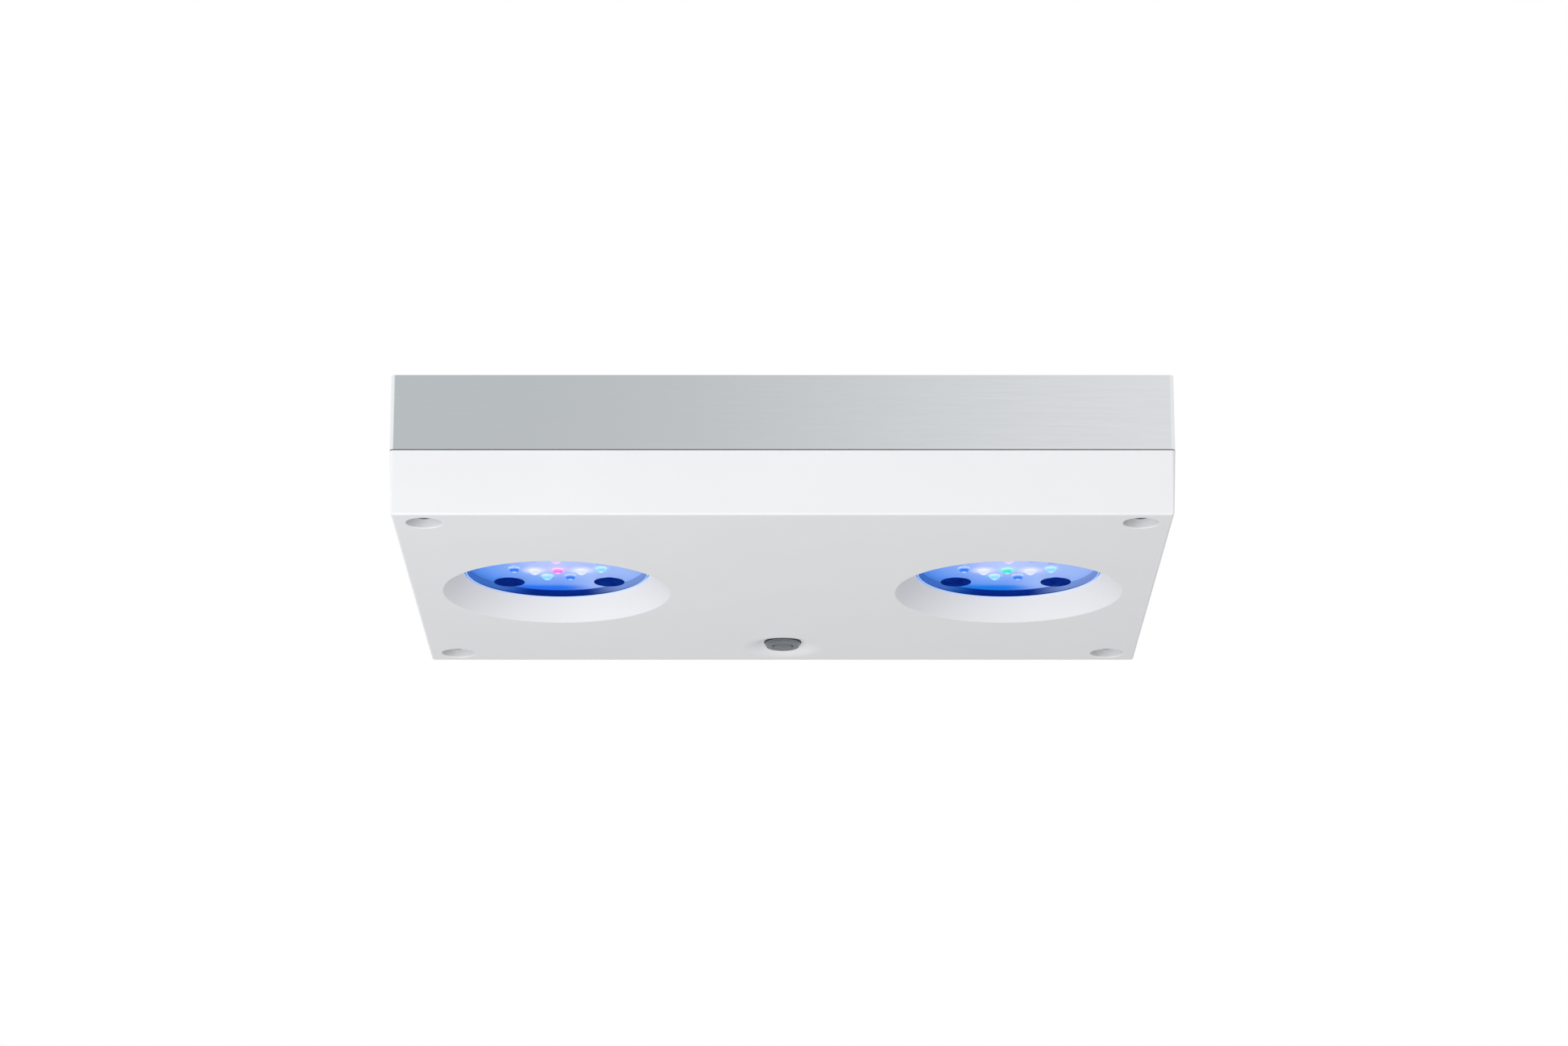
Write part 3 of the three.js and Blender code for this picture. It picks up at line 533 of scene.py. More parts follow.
def well_tool():
    """What is cut out for a lens well, with its rim and throat rounded."""
    throat_z = WELL_RIM_RADIUS - WELL_THROAT_RADIUS  # the wall slopes at 45 degrees
    outline = rounded(
        [
            *mouth(WELL_RIM_RADIUS, skirt=1.2, rounding=0.5),
            (WELL_THROAT_RADIUS, throat_z, 0.4),
            (WELL_THROAT_RADIUS, LENS_SEAT_Z),
            (LENS_SEAT_RADIUS, LENS_SEAT_Z),
            (LENS_SEAT_RADIUS, COLLAR_TOP + 1),
            (0, COLLAR_TOP + 1),
        ],
        steps=6,
    )
    return turned(outline, 160)


def cover_screw_tool():
    """What is cut out for a corner screw: its recess, the seat of its head and its bore."""
    top = cad("lower_cover")[1].z
    outline = rounded(
        [
            *mouth(SCREW_RECESS_RADIUS, skirt=0.45, rounding=0.4),
            (SCREW_RECESS_RADIUS, SCREW_SEAT_Z, 0.5),
            (SCREW_BORE_RADIUS, SCREW_SEAT_Z),
            (SCREW_BORE_RADIUS, top + 1),
            (0, top + 1),
        ]
    )
    return turned(outline, 64)


def button_dish_tool():
    """What is cut out for the button: a shallow dish, a flat seat and the bore."""
    bore_top = 8
    outline = rounded(
        [
            *mouth(BUTTON_DISH_RADIUS, skirt=3.8, rounding=14),
            (BUTTON_SEAT_RADIUS, BUTTON_SEAT_Z, 5),
            (BUTTON_BORE_RADIUS, BUTTON_SEAT_Z),
            (BUTTON_BORE_RADIUS, bore_top),
            (0, bore_top),
        ],
        steps=5,
    )
    return turned(outline, 128)


def cover():
    low, high = cad("lower_cover")
    top = high.z
    # From the underside up the outside, over the rim and down the inside to the floor.
    section = rounded(
        [
            (CORE_INSET, 0),
            (DRAFT, 0, FOOT_RADIUS),
            (0, top, 0.12),
            (LIP_WALL, top, 0.2),
            (LIP_WALL, LIP_FOOT_Z),
            (COVER_WALL, LIP_FOOT_Z, 0.3),
            (COVER_WALL, COVER_WALL, 0.8),
            (CORE_INSET, COVER_WALL),
        ],
        steps=5,
    )
    piece = shell("cover_shell", section, high.x - low.x, high.y - low.y)
    button = middle("button_bezel")
    wells = [middle(f"lens_{side}") for side in SIDES]
    screws = [middle(f"cover_screw_{corner}") for corner in CORNERS]
    collar = rod(COLLAR_RADIUS, BOSS_FOOT_Z, COLLAR_TOP, 128)
    boss = rod(SCREW_BOSS_RADIUS, BOSS_FOOT_Z, top, 48)
    button_boss = rod(BUTTON_BOSS_RADIUS, BOSS_FOOT_Z, BUTTON_BOSS_TOP, 64)
    joined(
        piece,
        *[copy_at(collar, p.x, p.y) for p in wells],
        *[copy_at(boss, p.x, p.y) for p in screws],
        copy_at(button_boss, button.x, button.y),
    )
    cut(
        piece,
        *[copy_at(well_tool(), p.x, p.y) for p in wells],
        *[copy_at(cover_screw_tool(), p.x, p.y) for p in screws],
        copy_at(button_dish_tool(), button.x, button.y),
    )
    return dress(piece, COVER_WHITE, "housing", ["lower_cover"])


# ---------------------------------------------------------------- aluminium casing
CASING_WALL = 2.0
TOP_SLOTS = 9
TOP_SLOT_WIDTH = 4.6
TOP_SLOT_PITCH = 8.0
TOP_SLOT_FIELD_RADIUS = 36.0
SIDE_SLOTS = 9
SIDE_SLOT_LENGTH = 14.0
SIDE_SLOT_WIDTH = 3.2
SIDE_SLOT_PITCH = 10.0
SIDE_SLOT_Z = 38.5
SLOT_EASE = 0.35
INSERT_HOLE_RADIUS = 4.12
SOCKET_HOLE_RADIUS = 7.3
TOWARD_BACK = Matrix.Rotation(-math.pi / 2, 4, "X")


def row_place(i, count, pitch):
    """The place of one in a row of `count`, centred on zero."""
    return (i - (count - 1) / 2) * pitch


def top_slot_tools(ceiling, top):
    """The slots over the fan, which fill a round field."""
    tools = []
    for i in range(TOP_SLOTS):
        y = row_place(i, TOP_SLOTS, TOP_SLOT_PITCH)
        length = 2 * math.sqrt(TOP_SLOT_FIELD_RADIUS**2 - y**2)
        slot = prism(
            lambda grow: stadium(length + 2 * grow, TOP_SLOT_WIDTH + 2 * grow),
            ceiling - 2,
            top,
            flare=SLOT_EASE,
        )
        tools.append(copy_at(slot, 0, y))
    return tools


def side_slot_tools(width):
    """The upright slots in both end walls."""
    slot = prism(
        lambda grow: stadium(SIDE_SLOT_LENGTH + 2 * grow, SIDE_SLOT_WIDTH + 2 * grow),
        -2 * CASING_WALL,
        0,
        flare=SLOT_EASE,
    )
    tools = []
    for side in SIDES.values():
        outwards = Matrix.Rotation(side * math.pi / 2, 4, "Y")
        for i in range(SIDE_SLOTS):
            y = row_place(i, SIDE_SLOTS, SIDE_SLOT_PITCH)
            tools.append(copy_at(slot, side * width / 2, y, SIDE_SLOT_Z, outwards))
    return tools


def countersink_tool(top):
    """What is cut out of the top for a countersunk fan screw."""
    outline = [
        (0, top - 3),
        (2.1, top - 3),
        (2.1, top - 2),
        (3.95, top - 0.1),
        (4.05, top),
        (4.05, top + 2),
        (0, top + 2),
    ]
    return turned(outline, 48)


def casing():
    low, high = cad("upper_casing")
    width, depth, foot, top = high.x - low.x, high.y - low.y, low.z, high.z
    ceiling = top - CASING_WALL
    # From the top down the outside, round the foot and up the inside to the ceiling.
    section = rounded(
        [
            (CORE_INSET, top),
            (0, top, 0.25),
            (0, foot, 0.08),
            (CASING_WALL, foot, 0.2),
            (CASING_WALL, ceiling, 0.6),
            (CORE_INSET, ceiling),
        ],
        steps=5,
    )
    piece = shell("casing_shell", section, width, depth)
    tools = top_slot_tools(ceiling, top) + side_slot_tools(width)
    insert_hole = prism(
        lambda grow: circle(INSERT_HOLE_RADIUS + grow, 64), ceiling - 1, top, flare=0.2
    )
    for corner in CORNERS:
        screw, insert = middle(f"fan_screw_{corner}"), middle(f"hanger_insert_{corner}")
        tools.append(copy_at(countersink_tool(top), screw.x, screw.y))
        tools.append(copy_at(insert_hole, insert.x, insert.y))
    socket = middle("power_socket")
    socket_hole = rod(SOCKET_HOLE_RADIUS, -5, 3, 64)
    tools.append(copy_at(socket_hole, socket.x, high.y, socket.z, TOWARD_BACK))
    cut(piece, *tools)
    return dress(piece, CASING, "housing", ["upper_casing"])


# ---------------------------------------------------------------- light modules
# Each kind of LED: its colour at the dome's tip and at its foot.
LED_COLOURS = {
    "white": ((0.74, 0.76, 0.96), (0.88, 0.88, 1.0)),
    "cyan": ((0.28, 0.70, 0.90), (0.68, 0.86, 0.97)),
    "blue": ((0.03, 0.20, 0.85), (0.60, 0.72, 0.97)),
    "violet": ((0.30, 0.38, 0.86), (0.42, 0.48, 0.90)),
    "rose": ((0.78, 0.60, 0.88), (0.90, 0.74, 0.92)),
    "pink": ((0.93, 0.20, 0.70), (0.98, 0.70, 0.92)),
    "green": ((0.06, 0.78, 0.56), (0.55, 0.92, 0.85)),
}
# Each LED's colour and its place from the module's centre, in millimetres.
LED_PLACES = [
    ("cyan", -4.4, 15.2), ("blue", 4.4, 15.2), ("blue", -4.4, -15.2), ("cyan", 4.4, -15.2),
    ("white", -8.8, 8.2), ("white", 8.8, 8.2), ("violet", -8.8, -8.2), ("violet", 8.8, -8.2),
    ("blue", -16.4, 5.0), ("cyan", 16.4, 5.0), ("violet", -16.4, -5.0), ("violet", 16.4, -5.0),
    ("rose", 0.0, -6.8),
]
MIDDLE_LED = {"left": ("pink", 0.0, 6.8), "right": ("green", 0.0, 6.8)}
# Painted light: how far from its middle an LED lights the board, and how strongly.
LED_HALO = {"white": (6.5, 0.75), "pink": (5.5, 0.6), "green": (5.5, 0.6), "blue": (4.2, 0.3)}
OTHER_LED_HALO = (4.2, 0.45)
FULL_HALO_RADIUS = 1.5
# The deep blue that each board's painted light turns at its back.
DEEP_BLUE = {"left": (0.025, 0.165, 0.80), "right": (0.012, 0.20, 0.75)}
# From a board's middle: where its painted light turns pale towards the right, and deep blue at the
# back.
PALE_X = (-1.0, 14.0)
DEEP_BLUE_Y = (27.0, 31.5)
# Painted light on a retainer's near-black wall: a dim blue glow, lighter to either side of its
# middle and near the board.
CHAMBER_DIM_BLUE_LIGHT = (0.001, 0.017, 0.20)
SIDE_LIGHT_X = (9.0, 25.0)  # where a retainer's wall grows lighter, to either side of its middle
SIDE_LIGHT = 0.62
# Painted light on the black screws under the boards: where their glow turns from dim blue to a
# lighter blue.
DISC_LIGHT_Z = (13.75, 14.1)  # a black screw is dark below the first and lit above the second
GLOW = 0.95
BOARD_REACH = 33.0  # from a board's middle to the edge of what shows
BOARD_FACE_Z = 14.6
BOARD_HOLE_RADIUS = 1.9
RETAINER_BORE_RADIUS = 33.4
# Painted light: where the board's light is painted onto a retainer's wall.
RETAINER_LIGHT_Z = (13.65, 14.25)  # its wall is dark below the first and lit above the second
PACKAGE_SIZE = 3.5
DOME_HEIGHT = 1.8
DOME_RADIUS = 2.15


def leds(side):
    return [*LED_PLACES, MIDDLE_LED[side]]


def dome_light(name, tip, foot):
    """An LED's dome, which changes from its foot's colour to its tip's."""
    nodes = Nodes(f"led_{name}")
    drop = nodes.math("SUBTRACT", BOARD_FACE_Z * MM, nodes.along("Z"))
    share = nodes.math("DIVIDE", drop, DOME_HEIGHT * MM)
    glow = nodes.ramp(share, (0.1, foot), (0.55, tip), (0.85, tip), (1.0, foot))
    nodes.glow(glow, GLOW, 0.75)
    nodes.set(Roughness=0.3, Specular_IOR_Level=0.1)
    return nodes.made


def board_glow(nodes, side):
    """Painted light on an LED board, by place: the board glows with this colour, which stands for
    the LEDs' light on it. It is palest in the middle and on the right, deep blue along the back,
    and each LED throws its colour round itself."""
    centre = middle(f"led_board_{side}")
    where = nodes.place()

    def distance(x, y):
        """How far a point is from a place on the board's face, which is given from its middle."""
        away = nodes.add("ShaderNodeVectorMath", operation="DISTANCE")
        place = Vector((centre.x + x, centre.y + y, BOARD_FACE_Z))
        away.inputs[1].default_value = place * MM
        nodes.link(where, away.inputs[0])
        return away.outputs["Value"]

    reach = nodes.math("DIVIDE", distance(0, 0), BOARD_REACH * MM)
    blue_side = nodes.ramp(
        reach,
        (0.0, (0.50, 0.58, 0.94)),
        (0.30, (0.44, 0.53, 0.92)),
        (0.55, (0.24, 0.40, 0.88)),
        (0.80, (0.16, 0.33, 0.84)),
        (0.93, (0.105, 0.27, 0.80)),
        (1.0, (0.08, 0.23, 0.68)),
    )
    pale_side = nodes.ramp(
        reach,
        (0.0, (0.50, 0.58, 0.94)),
        (0.35, (0.43, 0.53, 0.92)),
        (0.65, (0.35, 0.48, 0.88)),
        (0.9, (0.34, 0.47, 0.85)),
        (1.0, (0.30, 0.44, 0.84)),
    )
    to_right = nodes.spread(nodes.along("X"), *(centre.x + x for x in PALE_X))
    at_back = nodes.spread(nodes.along("Y"), *(centre.y + y for y in DEEP_BLUE_Y))
    back_left = nodes.math("MULTIPLY", at_back, nodes.math("SUBTRACT", 1.0, to_right))
    glow = nodes.mix(to_right, blue_side, pale_side)
    glow = nodes.mix(back_left, glow, DEEP_BLUE[side])
    for colour, x, y in leds(side):
        halo_radius, strength = LED_HALO.get(colour, OTHER_LED_HALO)
        near = nodes.spread(distance(x, y), halo_radius, FULL_HALO_RADIUS)
        tint = tuple(0.4 * t + 0.6 * f for t, f in zip(*LED_COLOURS[colour]))
        glow = nodes.mix(nodes.math("MULTIPLY", near, strength), glow, tint)
    return glow


# The board's material glows with the painted light, and its own colour is a quarter of that light.
def board_painted_light(side):
    nodes = Nodes(f"led_board_mask_{side}")
    nodes.glow(board_glow(nodes, side), GLOW, 0.75)
    nodes.set(Roughness=0.4)
    return nodes.made


def chamber_wall(side):
    """The retainer's wall glows with painted light: a dim blue, which stands for the LEDs' light on
    it. The board's painted light lights it up where it is near the board, and lights it partly at
    its left and right."""
    nodes = Nodes(f"chamber_wall_{side}")
    centre = middle(f"lens_retainer_{side}")
    near_board = nodes.spread(nodes.along("Z"), *RETAINER_LIGHT_Z)
    sideways = nodes.math("ABSOLUTE", nodes.math("SUBTRACT", nodes.along("X"), centre.x * MM))
    at_sides = nodes.math("MULTIPLY", nodes.spread(sideways, *SIDE_LIGHT_X), SIDE_LIGHT)
    lit = nodes.math("MAXIMUM", near_board, at_sides)
    glow = nodes.mix(lit, CHAMBER_DIM_BLUE_LIGHT, board_glow(nodes, side))
    nodes.glow(glow, GLOW, 0.8, unlit=(0.004, 0.008, 0.03))
    nodes.set(Roughness=0.5)
    return nodes.made


def black_screw():
    """A black screw under an LED board, with painted light: its disc glows a dim blue, which stands
    for the LEDs' blue light on it, and its shank glows lighter, a painted highlight.
    """
    dark, less_dark, lit = (0.001, 0.010, 0.15), (0.002, 0.022, 0.20), (0.16, 0.33, 0.82)
    nodes = Nodes("black_screw")
    above_disc = nodes.spread(nodes.along("Z"), *DISC_LIGHT_Z)
    patch = nodes.ramp(nodes.noise(300), (0.35, dark), (0.65, less_dark))
    nodes.glow(nodes.mix(above_disc, patch, lit), 1.0, 0.8)
    nodes.set(Roughness=0.5)
    return nodes.made


BLUE_LIT_BLACK_STEEL = black_screw()
# A painted highlight: the glow of the lens's edge, which stands for light caught by its bevel.
LENS_EDGE_HIGHLIGHT = glowing("lens_rim", (0.27, 0.44, 0.88), 0.8)
# Painted light: the LEDs' white packages glow pale blue, for the LEDs' light on them.
LED_PACKAGE_PAINTED_LIGHT = glowing("led_package", (0.50, 0.60, 0.94), 0.85)


def lens_piece(side):
    """The lens, and a thin glowing band round the edge of its face: a painted highlight, for the
    edge catching light.
    """
    low, high = cad(f"lens_{side}")
    centre = middle(f"lens_{side}")
    face, flange, flange_foot = WELL_THROAT_RADIUS - 0.3, (high.x - low.x) / 2, 10.4
    edge = 0.7
    outline = rounded(
        [
            (0, low.z),
            (face, low.z, edge),
            (face, flange_foot, 0.3),
            (flange, flange_foot, 0.3),
            (flange, high.z, 0.3),
            (0, high.z),
        ],
        steps=6,
    )
    piece = to_object(f"lens_{side}_glass", copy_at(turned(outline, 160), centre.x, centre.y))
    dress(piece, LENS, "housing", [f"lens_{side}"])
    proud = 0.03
    band = [
        (face - 0.75, low.z - proud),
        *arc((face - edge, low.z + edge), edge + proud, -90, 0, 6),
        (face + proud, low.z + 0.9),
        (face - 0.3, low.z + 0.5),
        (face - 0.75, low.z - proud),
    ]
    rim = to_object(f"lens_{side}_lit_edge", copy_at(turned(band, 160), centre.x, centre.y))
    dress(rim, LENS_EDGE_HIGHLIGHT, "housing")


def ring(bore, outer, low, high, bore_rounding, outer_rounding, segments):
    """A flat ring's shape, from its two radii and its two heights, with rounded edges."""
    half_way = (low + high) / 2
    outline = [
        (bore, half_way),
        (bore, low, bore_rounding),
        (outer, low, outer_rounding),
        (outer, high, outer_rounding),
        (bore, high, bore_rounding),
        (bore, half_way),
    ]
    return turned(rounded(outline, steps=3), segments)


def retainer(side):
    """The ring behind the lens, whose inner wall shows through it with a dim blue painted light."""
    low, high = cad(f"lens_retainer_{side}")
    centre = middle(f"lens_retainer_{side}")
    radius = (high.x - low.x) / 2
    shape = ring(RETAINER_BORE_RADIUS, radius, low.z, high.z, 0.3, 0.3, segments=128)
    piece = to_object(f"lens_retainer_{side}_ring", copy_at(shape, centre.x, centre.y))
    wall = chamber_wall(side)
    return dress(piece, wall, "housing", [f"lens_retainer_{side}"])


def led_shapes():
    """One LED under its board: a square package with eased edges, and a dome over it."""

    def square(grow):
        size = PACKAGE_SIZE + 2 * grow
        return rounded_rectangle(size, size, 0.5 + grow, 3)

    package = prism(square, BOARD_FACE_Z - 0.35, BOARD_FACE_Z + 0.2, ease=0.12)
    top = BOARD_FACE_Z + 0.02
    quarter = arc((0, 0), 1, 90, 0, 12)
    slope = [(DOME_RADIUS * x, top - DOME_HEIGHT * y) for x, y in quarter]
    return package, turned(slope + [(0, top)], 32)


def led_board(side):
    """The board's disc, with holes for its four screws."""
    low, high = cad(f"led_board_{side}")
    centre = middle(f"led_board_{side}")
    radius, top = (high.x - low.x) / 2, high.z
    outline = [(0, BOARD_FACE_Z), (radius, BOARD_FACE_Z, 0.2), (radius, top, 0.2), (0, top)]
    disc = turned(rounded(outline, 3), 128)
    board = to_object(f"led_board_{side}_disc", copy_at(disc, centre.x, centre.y))
    hole = rod(BOARD_HOLE_RADIUS, BOARD_FACE_Z - 4, top + 4, 24)
    screws = [middle(f"board_screw_{side}_{corner}") for corner in CORNERS]
    cut(board, *[copy_at(hole, p.x, p.y) for p in screws])
    dress(board, board_painted_light(side), "housing", [f"led_board_{side}"])


def led_cluster(side):
    """The LEDs' packages in one piece, and their domes in one piece for each colour."""
    centre = middle(f"led_board_{side}")
    package, dome = led_shapes()
    domes, packages = {}, []
    for colour, x, y in leds(side):
        place = (centre.x + x, centre.y + y)
        domes.setdefault(colour, []).append(copy_at(dome, *place))
        packages.append(copy_at(package, *place))
    dress(to_object(f"led_packages_{side}", *packages), LED_PACKAGE_PAINTED_LIGHT, "housing")
    for colour, shapes in domes.items():
        light = dome_light(f"{side}_{colour}", *LED_COLOURS[colour])
        dress(to_object(f"led_domes_{side}_{colour}", *shapes), light, "housing")


def hexagon_socket(across, low, high, x, y):
    return copy_at(prism(lambda grow: polygon(6, across + 2 * grow), low, high), x, y)


def board_screw(node):
    """A black screw whose broad head is so thin that it looks like a disc."""
    low, high = cad(node)
    centre, radius = middle(node), (high.y - low.y) / 2
    disc_top, head_top, shank = low.z + 0.3, low.z + 1.4, 1.6
    outline = rounded(
        [
            (0, low.z),
            (radius, low.z, 0.1),
            (radius, disc_top, 0.1),
            (2.2, head_top),
            (shank, head_top),
            (shank, high.z, 0.3),
            (0, high.z),
        ]
    )
    name = node.replace("board_screw", "black_screw")
    piece = to_object(name, copy_at(turned(outline, 64), centre.x, centre.y))
    cut(piece, hexagon_socket(3, low.z - 1, low.z + 0.8, centre.x, centre.y))
    return dress(piece, BLUE_LIT_BLACK_STEEL, "housing", [node])


def cover_screw(corner):
    """An M5 screw with a domed button head."""
    node = f"cover_screw_{corner}"
    low, high = cad(node)
    centre, head, shank, seat = middle(node), 4.75, 2.45, 5.0
    outline = rounded(
        [
            (0, low.z),
            (2.6, low.z, 0.3),
            (4.1, low.z + 0.85, 1.0),
            (head, low.z + 2.1, 0.6),
            (head, seat, 0.2),
            (shank, seat),
            (shank, high.z, 0.5),
            (0, high.z),
        ]
    )
    shape = copy_at(turned(outline, 64), centre.x, centre.y)
    piece = to_object(f"button_head_screw_{corner}", shape)
    cut(piece, hexagon_socket(3, low.z - 1, low.z + 1.6, centre.x, centre.y))
    return dress(piece, DARK_STEEL, "housing", [node])


# ---------------------------------------------------------------- push button
BUTTON_TRAVEL = 1.2
BUTTON_BARREL_RADIUS = 5.9
BEZEL_BACK_Z = 13.0
CAP_STEM_RADIUS = 1.3


def button_bezel():
    """The button's flange and barrel, stepped on its face, with the bore that the cap is in."""
    low, high = cad("button_bezel")
    cap_low, cap_high = cad("button_cap")
    flange_top = cad("button_seal")[0].z - 0.1
    centre, flange = middle("button_bezel"), (high.x - low.x) / 2
    bore, face = (cap_high.x - cap_low.x) / 2 + 0.3, flange - 0.55
    start, shoulder, guide = 3, 5, 3.3
    outline = rounded(
        [
            (bore, start),
            (bore, low.z + 0.45, 0.1),
            (bore + 0.45, low.z, 0.15),
            (face, low.z, 0.3),
            (face, 1.15, 0.1),
            (flange, 1.3, 0.08),
            (flange, flange_top, 0.08),
            (BUTTON_BARREL_RADIUS, flange_top),
            (BUTTON_BARREL_RADIUS, high.z, 0.4),
            (0, high.z),
            (0, BEZEL_BACK_Z),
            (guide, BEZEL_BACK_Z),
            (guide, shoulder),
            (bore, shoulder),
            (bore, start),
        ]
    )
    piece = to_object("button_bezel_metal", copy_at(turned(outline, 96), centre.x, centre.y))
    return dress(piece, BUTTON_METAL, "housing", ["button_bezel"])


def button_cap():
    """The cap and its stem. Its back keeps clear of the spring when it is pressed."""
    low, high = cad("button_cap")
    centre, radius = middle("button_bezel"), (high.x - low.x) / 2
    back = cad("button_spring")[0].z - BUTTON_TRAVEL - 0.05
    outline = rounded(
        [
            (0, low.z),
            (radius, low.z, 0.25),
            (radius, back, 0.2),
            (CAP_STEM_RADIUS, back),
            (CAP_STEM_RADIUS, high.z, 0.3),
            (0, high.z),
        ],
        steps=5,
    )
    piece = to_object("button_cap_metal", copy_at(turned(outline, 96), centre.x, centre.y))
    return dress(piece, BUTTON_FACE, "button", ["button_cap"])


def button_seal():
    """The ring seal between the button's flange and its seat."""
    low, high = cad("button_seal")
    centre, radius = middle("button_bezel"), (high.x - low.x) / 2
    shape = ring(BUTTON_BORE_RADIUS + 0.05, radius, low.z, high.z, 0.1, 0.15, segments=96)
    piece = to_object("button_seal_ring", copy_at(shape, centre.x, centre.y))
    return dress(piece, RUBBER, "housing", ["button_seal"])


# ---------------------------------------------------------------- fan, inserts and socket
BLADES = 7
BLADE_STEPS = 10
BLADE_ROOT_RADIUS = 13.2
BLADE_TIP_RADIUS = 36.7
BLADE_CAMBER = 0.9
BLADE_THICKNESS = 0.7
# Points round a blade's section: half chords along it, and thicknesses across it.
BLADE_SECTION = [
    (-1, -0.5),
    (-0.5, -0.75),
    (0, -0.8),
    (0.5, -0.7),
    (1, -0.35),
    (1, 0.35),
    (0.5, 0.7),
    (0, 0.8),
    (-0.5, 0.65),
    (-1, 0.3),
]
HUB_RADIUS = 14.0
ROTOR_FOOT_Z = 34.7


def fan_blade(number):
    """A blade that widens, flattens and sweeps forward from its root to its tip."""
    rows = []
    for i in range(BLADE_STEPS + 1):
        share = i / BLADE_STEPS
        radius = BLADE_ROOT_RADIUS + (BLADE_TIP_RADIUS - BLADE_ROOT_RADIUS) * share
        sweep = 2 * math.pi * number / BLADES + 0.22 * share
        pitch = math.radians(42 + 20 * share)
        half_chord = 6.4 + 1.6 * share
        row = []
        for along, across in BLADE_SECTION:
            chord = along * half_chord
            lift = across * BLADE_THICKNESS + BLADE_CAMBER * (1 - along * along)
            x = chord * math.sin(pitch) + lift * math.cos(pitch)
            z = -chord * math.cos(pitch) * 0.85 + lift * math.sin(pitch)
            angle = sweep + x / radius
            height = ROTOR_FOOT_Z + 7.9 + z
            row.append((radius * math.cos(angle), radius * math.sin(angle), height))
        rows.append(row)
    return loft(rows)


def fan_rotor():
    low = cad("fan_rotor")[0]
    hub_foot, hub_top = ROTOR_FOOT_Z + 2.4, ROTOR_FOOT_Z + 13.6
    hub = [(0, hub_foot), (HUB_RADIUS, hub_foot, 0.3), (HUB_RADIUS, hub_top, 1.2), (0, hub_top)]
    shaft = rod(1.5, low.z, ROTOR_FOOT_Z + 3, 24)
    blades = [fan_blade(number) for number in range(BLADES)]
    piece = to_object("fan_impeller", turned(rounded(hub, 5)), shaft, *blades)
    return dress(piece, BLACK_PLASTIC, "fan", ["fan_rotor"])


INSERT_BORE_RADIUS = 2.5
INSERT_NECK_RADIUS = 4.0
INSERT_SHELF_Z = 49.7
THREAD_PITCH = 0.8
THREAD_DEPTH = 0.35


def hanger_insert(corner):
    """A threaded insert, which comes up through the casing's top from a flange under it."""
    node = f"hanger_insert_{corner}"
    low, high = cad(node)
    centre, flange = middle(node), (high.y - low.y) / 2
    thread_top = high.z - 0.7
    threads = []
    z = thread_top
    while z > low.z + 0.6:
        threads.append((INSERT_BORE_RADIUS, z))
        threads.append((INSERT_BORE_RADIUS + THREAD_DEPTH, z - THREAD_PITCH / 2))
        z -= THREAD_PITCH
    outside = rounded(
        [
            (INSERT_BORE_RADIUS, low.z),
            (flange, low.z, 0.3),
            (flange, INSERT_SHELF_Z, 0.2),
            (INSERT_NECK_RADIUS, INSERT_SHELF_Z),
            (INSERT_NECK_RADIUS, high.z, 0.2),
            (INSERT_BORE_RADIUS + 0.5, high.z),
        ],
        steps=3,
    )
    outline = [*threads, *outside, (INSERT_BORE_RADIUS, thread_top)]
    shape = copy_at(turned(outline, 48), centre.x, centre.y)
    piece = to_object(f"threaded_insert_{corner}", shape)
    return dress(piece, BRASS, "housing", [node])


def fan_screw(corner):
    """A countersunk screw, flush with the casing's top."""
    node = f"fan_screw_{corner}"
    low, high = cad(node)
    centre, top = middle(node), high.z
    head, shank = 3.5, 1.6
    outline = rounded(
        [
            (0, low.z),
            (shank, low.z, 0.3),
            (shank, top - 1.8),
            (head, top - 0.15, 0.1),
            (head, top, 0.1),
            (0, top),
        ],
        steps=3,
    )
    shape = copy_at(turned(outline, 48), centre.x, centre.y)
    piece = to_object(f"countersunk_screw_{corner}", shape)
    cut(piece, hexagon_socket(2.5, top - 1.2, top + 1, centre.x, centre.y))
    return dress(piece, STEEL, "housing", [node])


def power_socket():
    """A DC socket in the back wall. Its profile counts from its face, and is negative inwards."""
    low, high = cad("power_socket")
    centre = middle("power_socket")
    face, flange = high.y, (high.x - low.x) / 2
    body, bore, body_back, bore_back = 7, 4.6, -16.1, -7.5
    shoulder = cad("upper_casing")[1].y + 0.3 - face
    outline = rounded(
        [
            (0, body_back),
            (body, body_back, 0.5),
            (body, shoulder),
            (flange, shoulder, 0.15),
            (flange, 0, 0.4),
            (bore, 0, 0.4),
            (bore, bore_back),
            (0, bore_back),
        ]
    )
    place = (centre.x, face, centre.z, TOWARD_BACK)
    piece = to_object("socket_body", copy_at(turned(outline, 64), *place))
    dress(piece, BLACK_PLASTIC, "housing", ["power_socket"])
    pin_back, pin_tip, pin_radius = bore_back - 0.1, -1.6, 1.05
    outline = [(0, pin_back), (pin_radius, pin_back), (pin_radius, pin_tip, 0.5), (0, pin_tip)]
    pin = to_object("socket_pin", copy_at(turned(rounded(outline), 32), *place))
    dress(pin, BRASS, "housing")


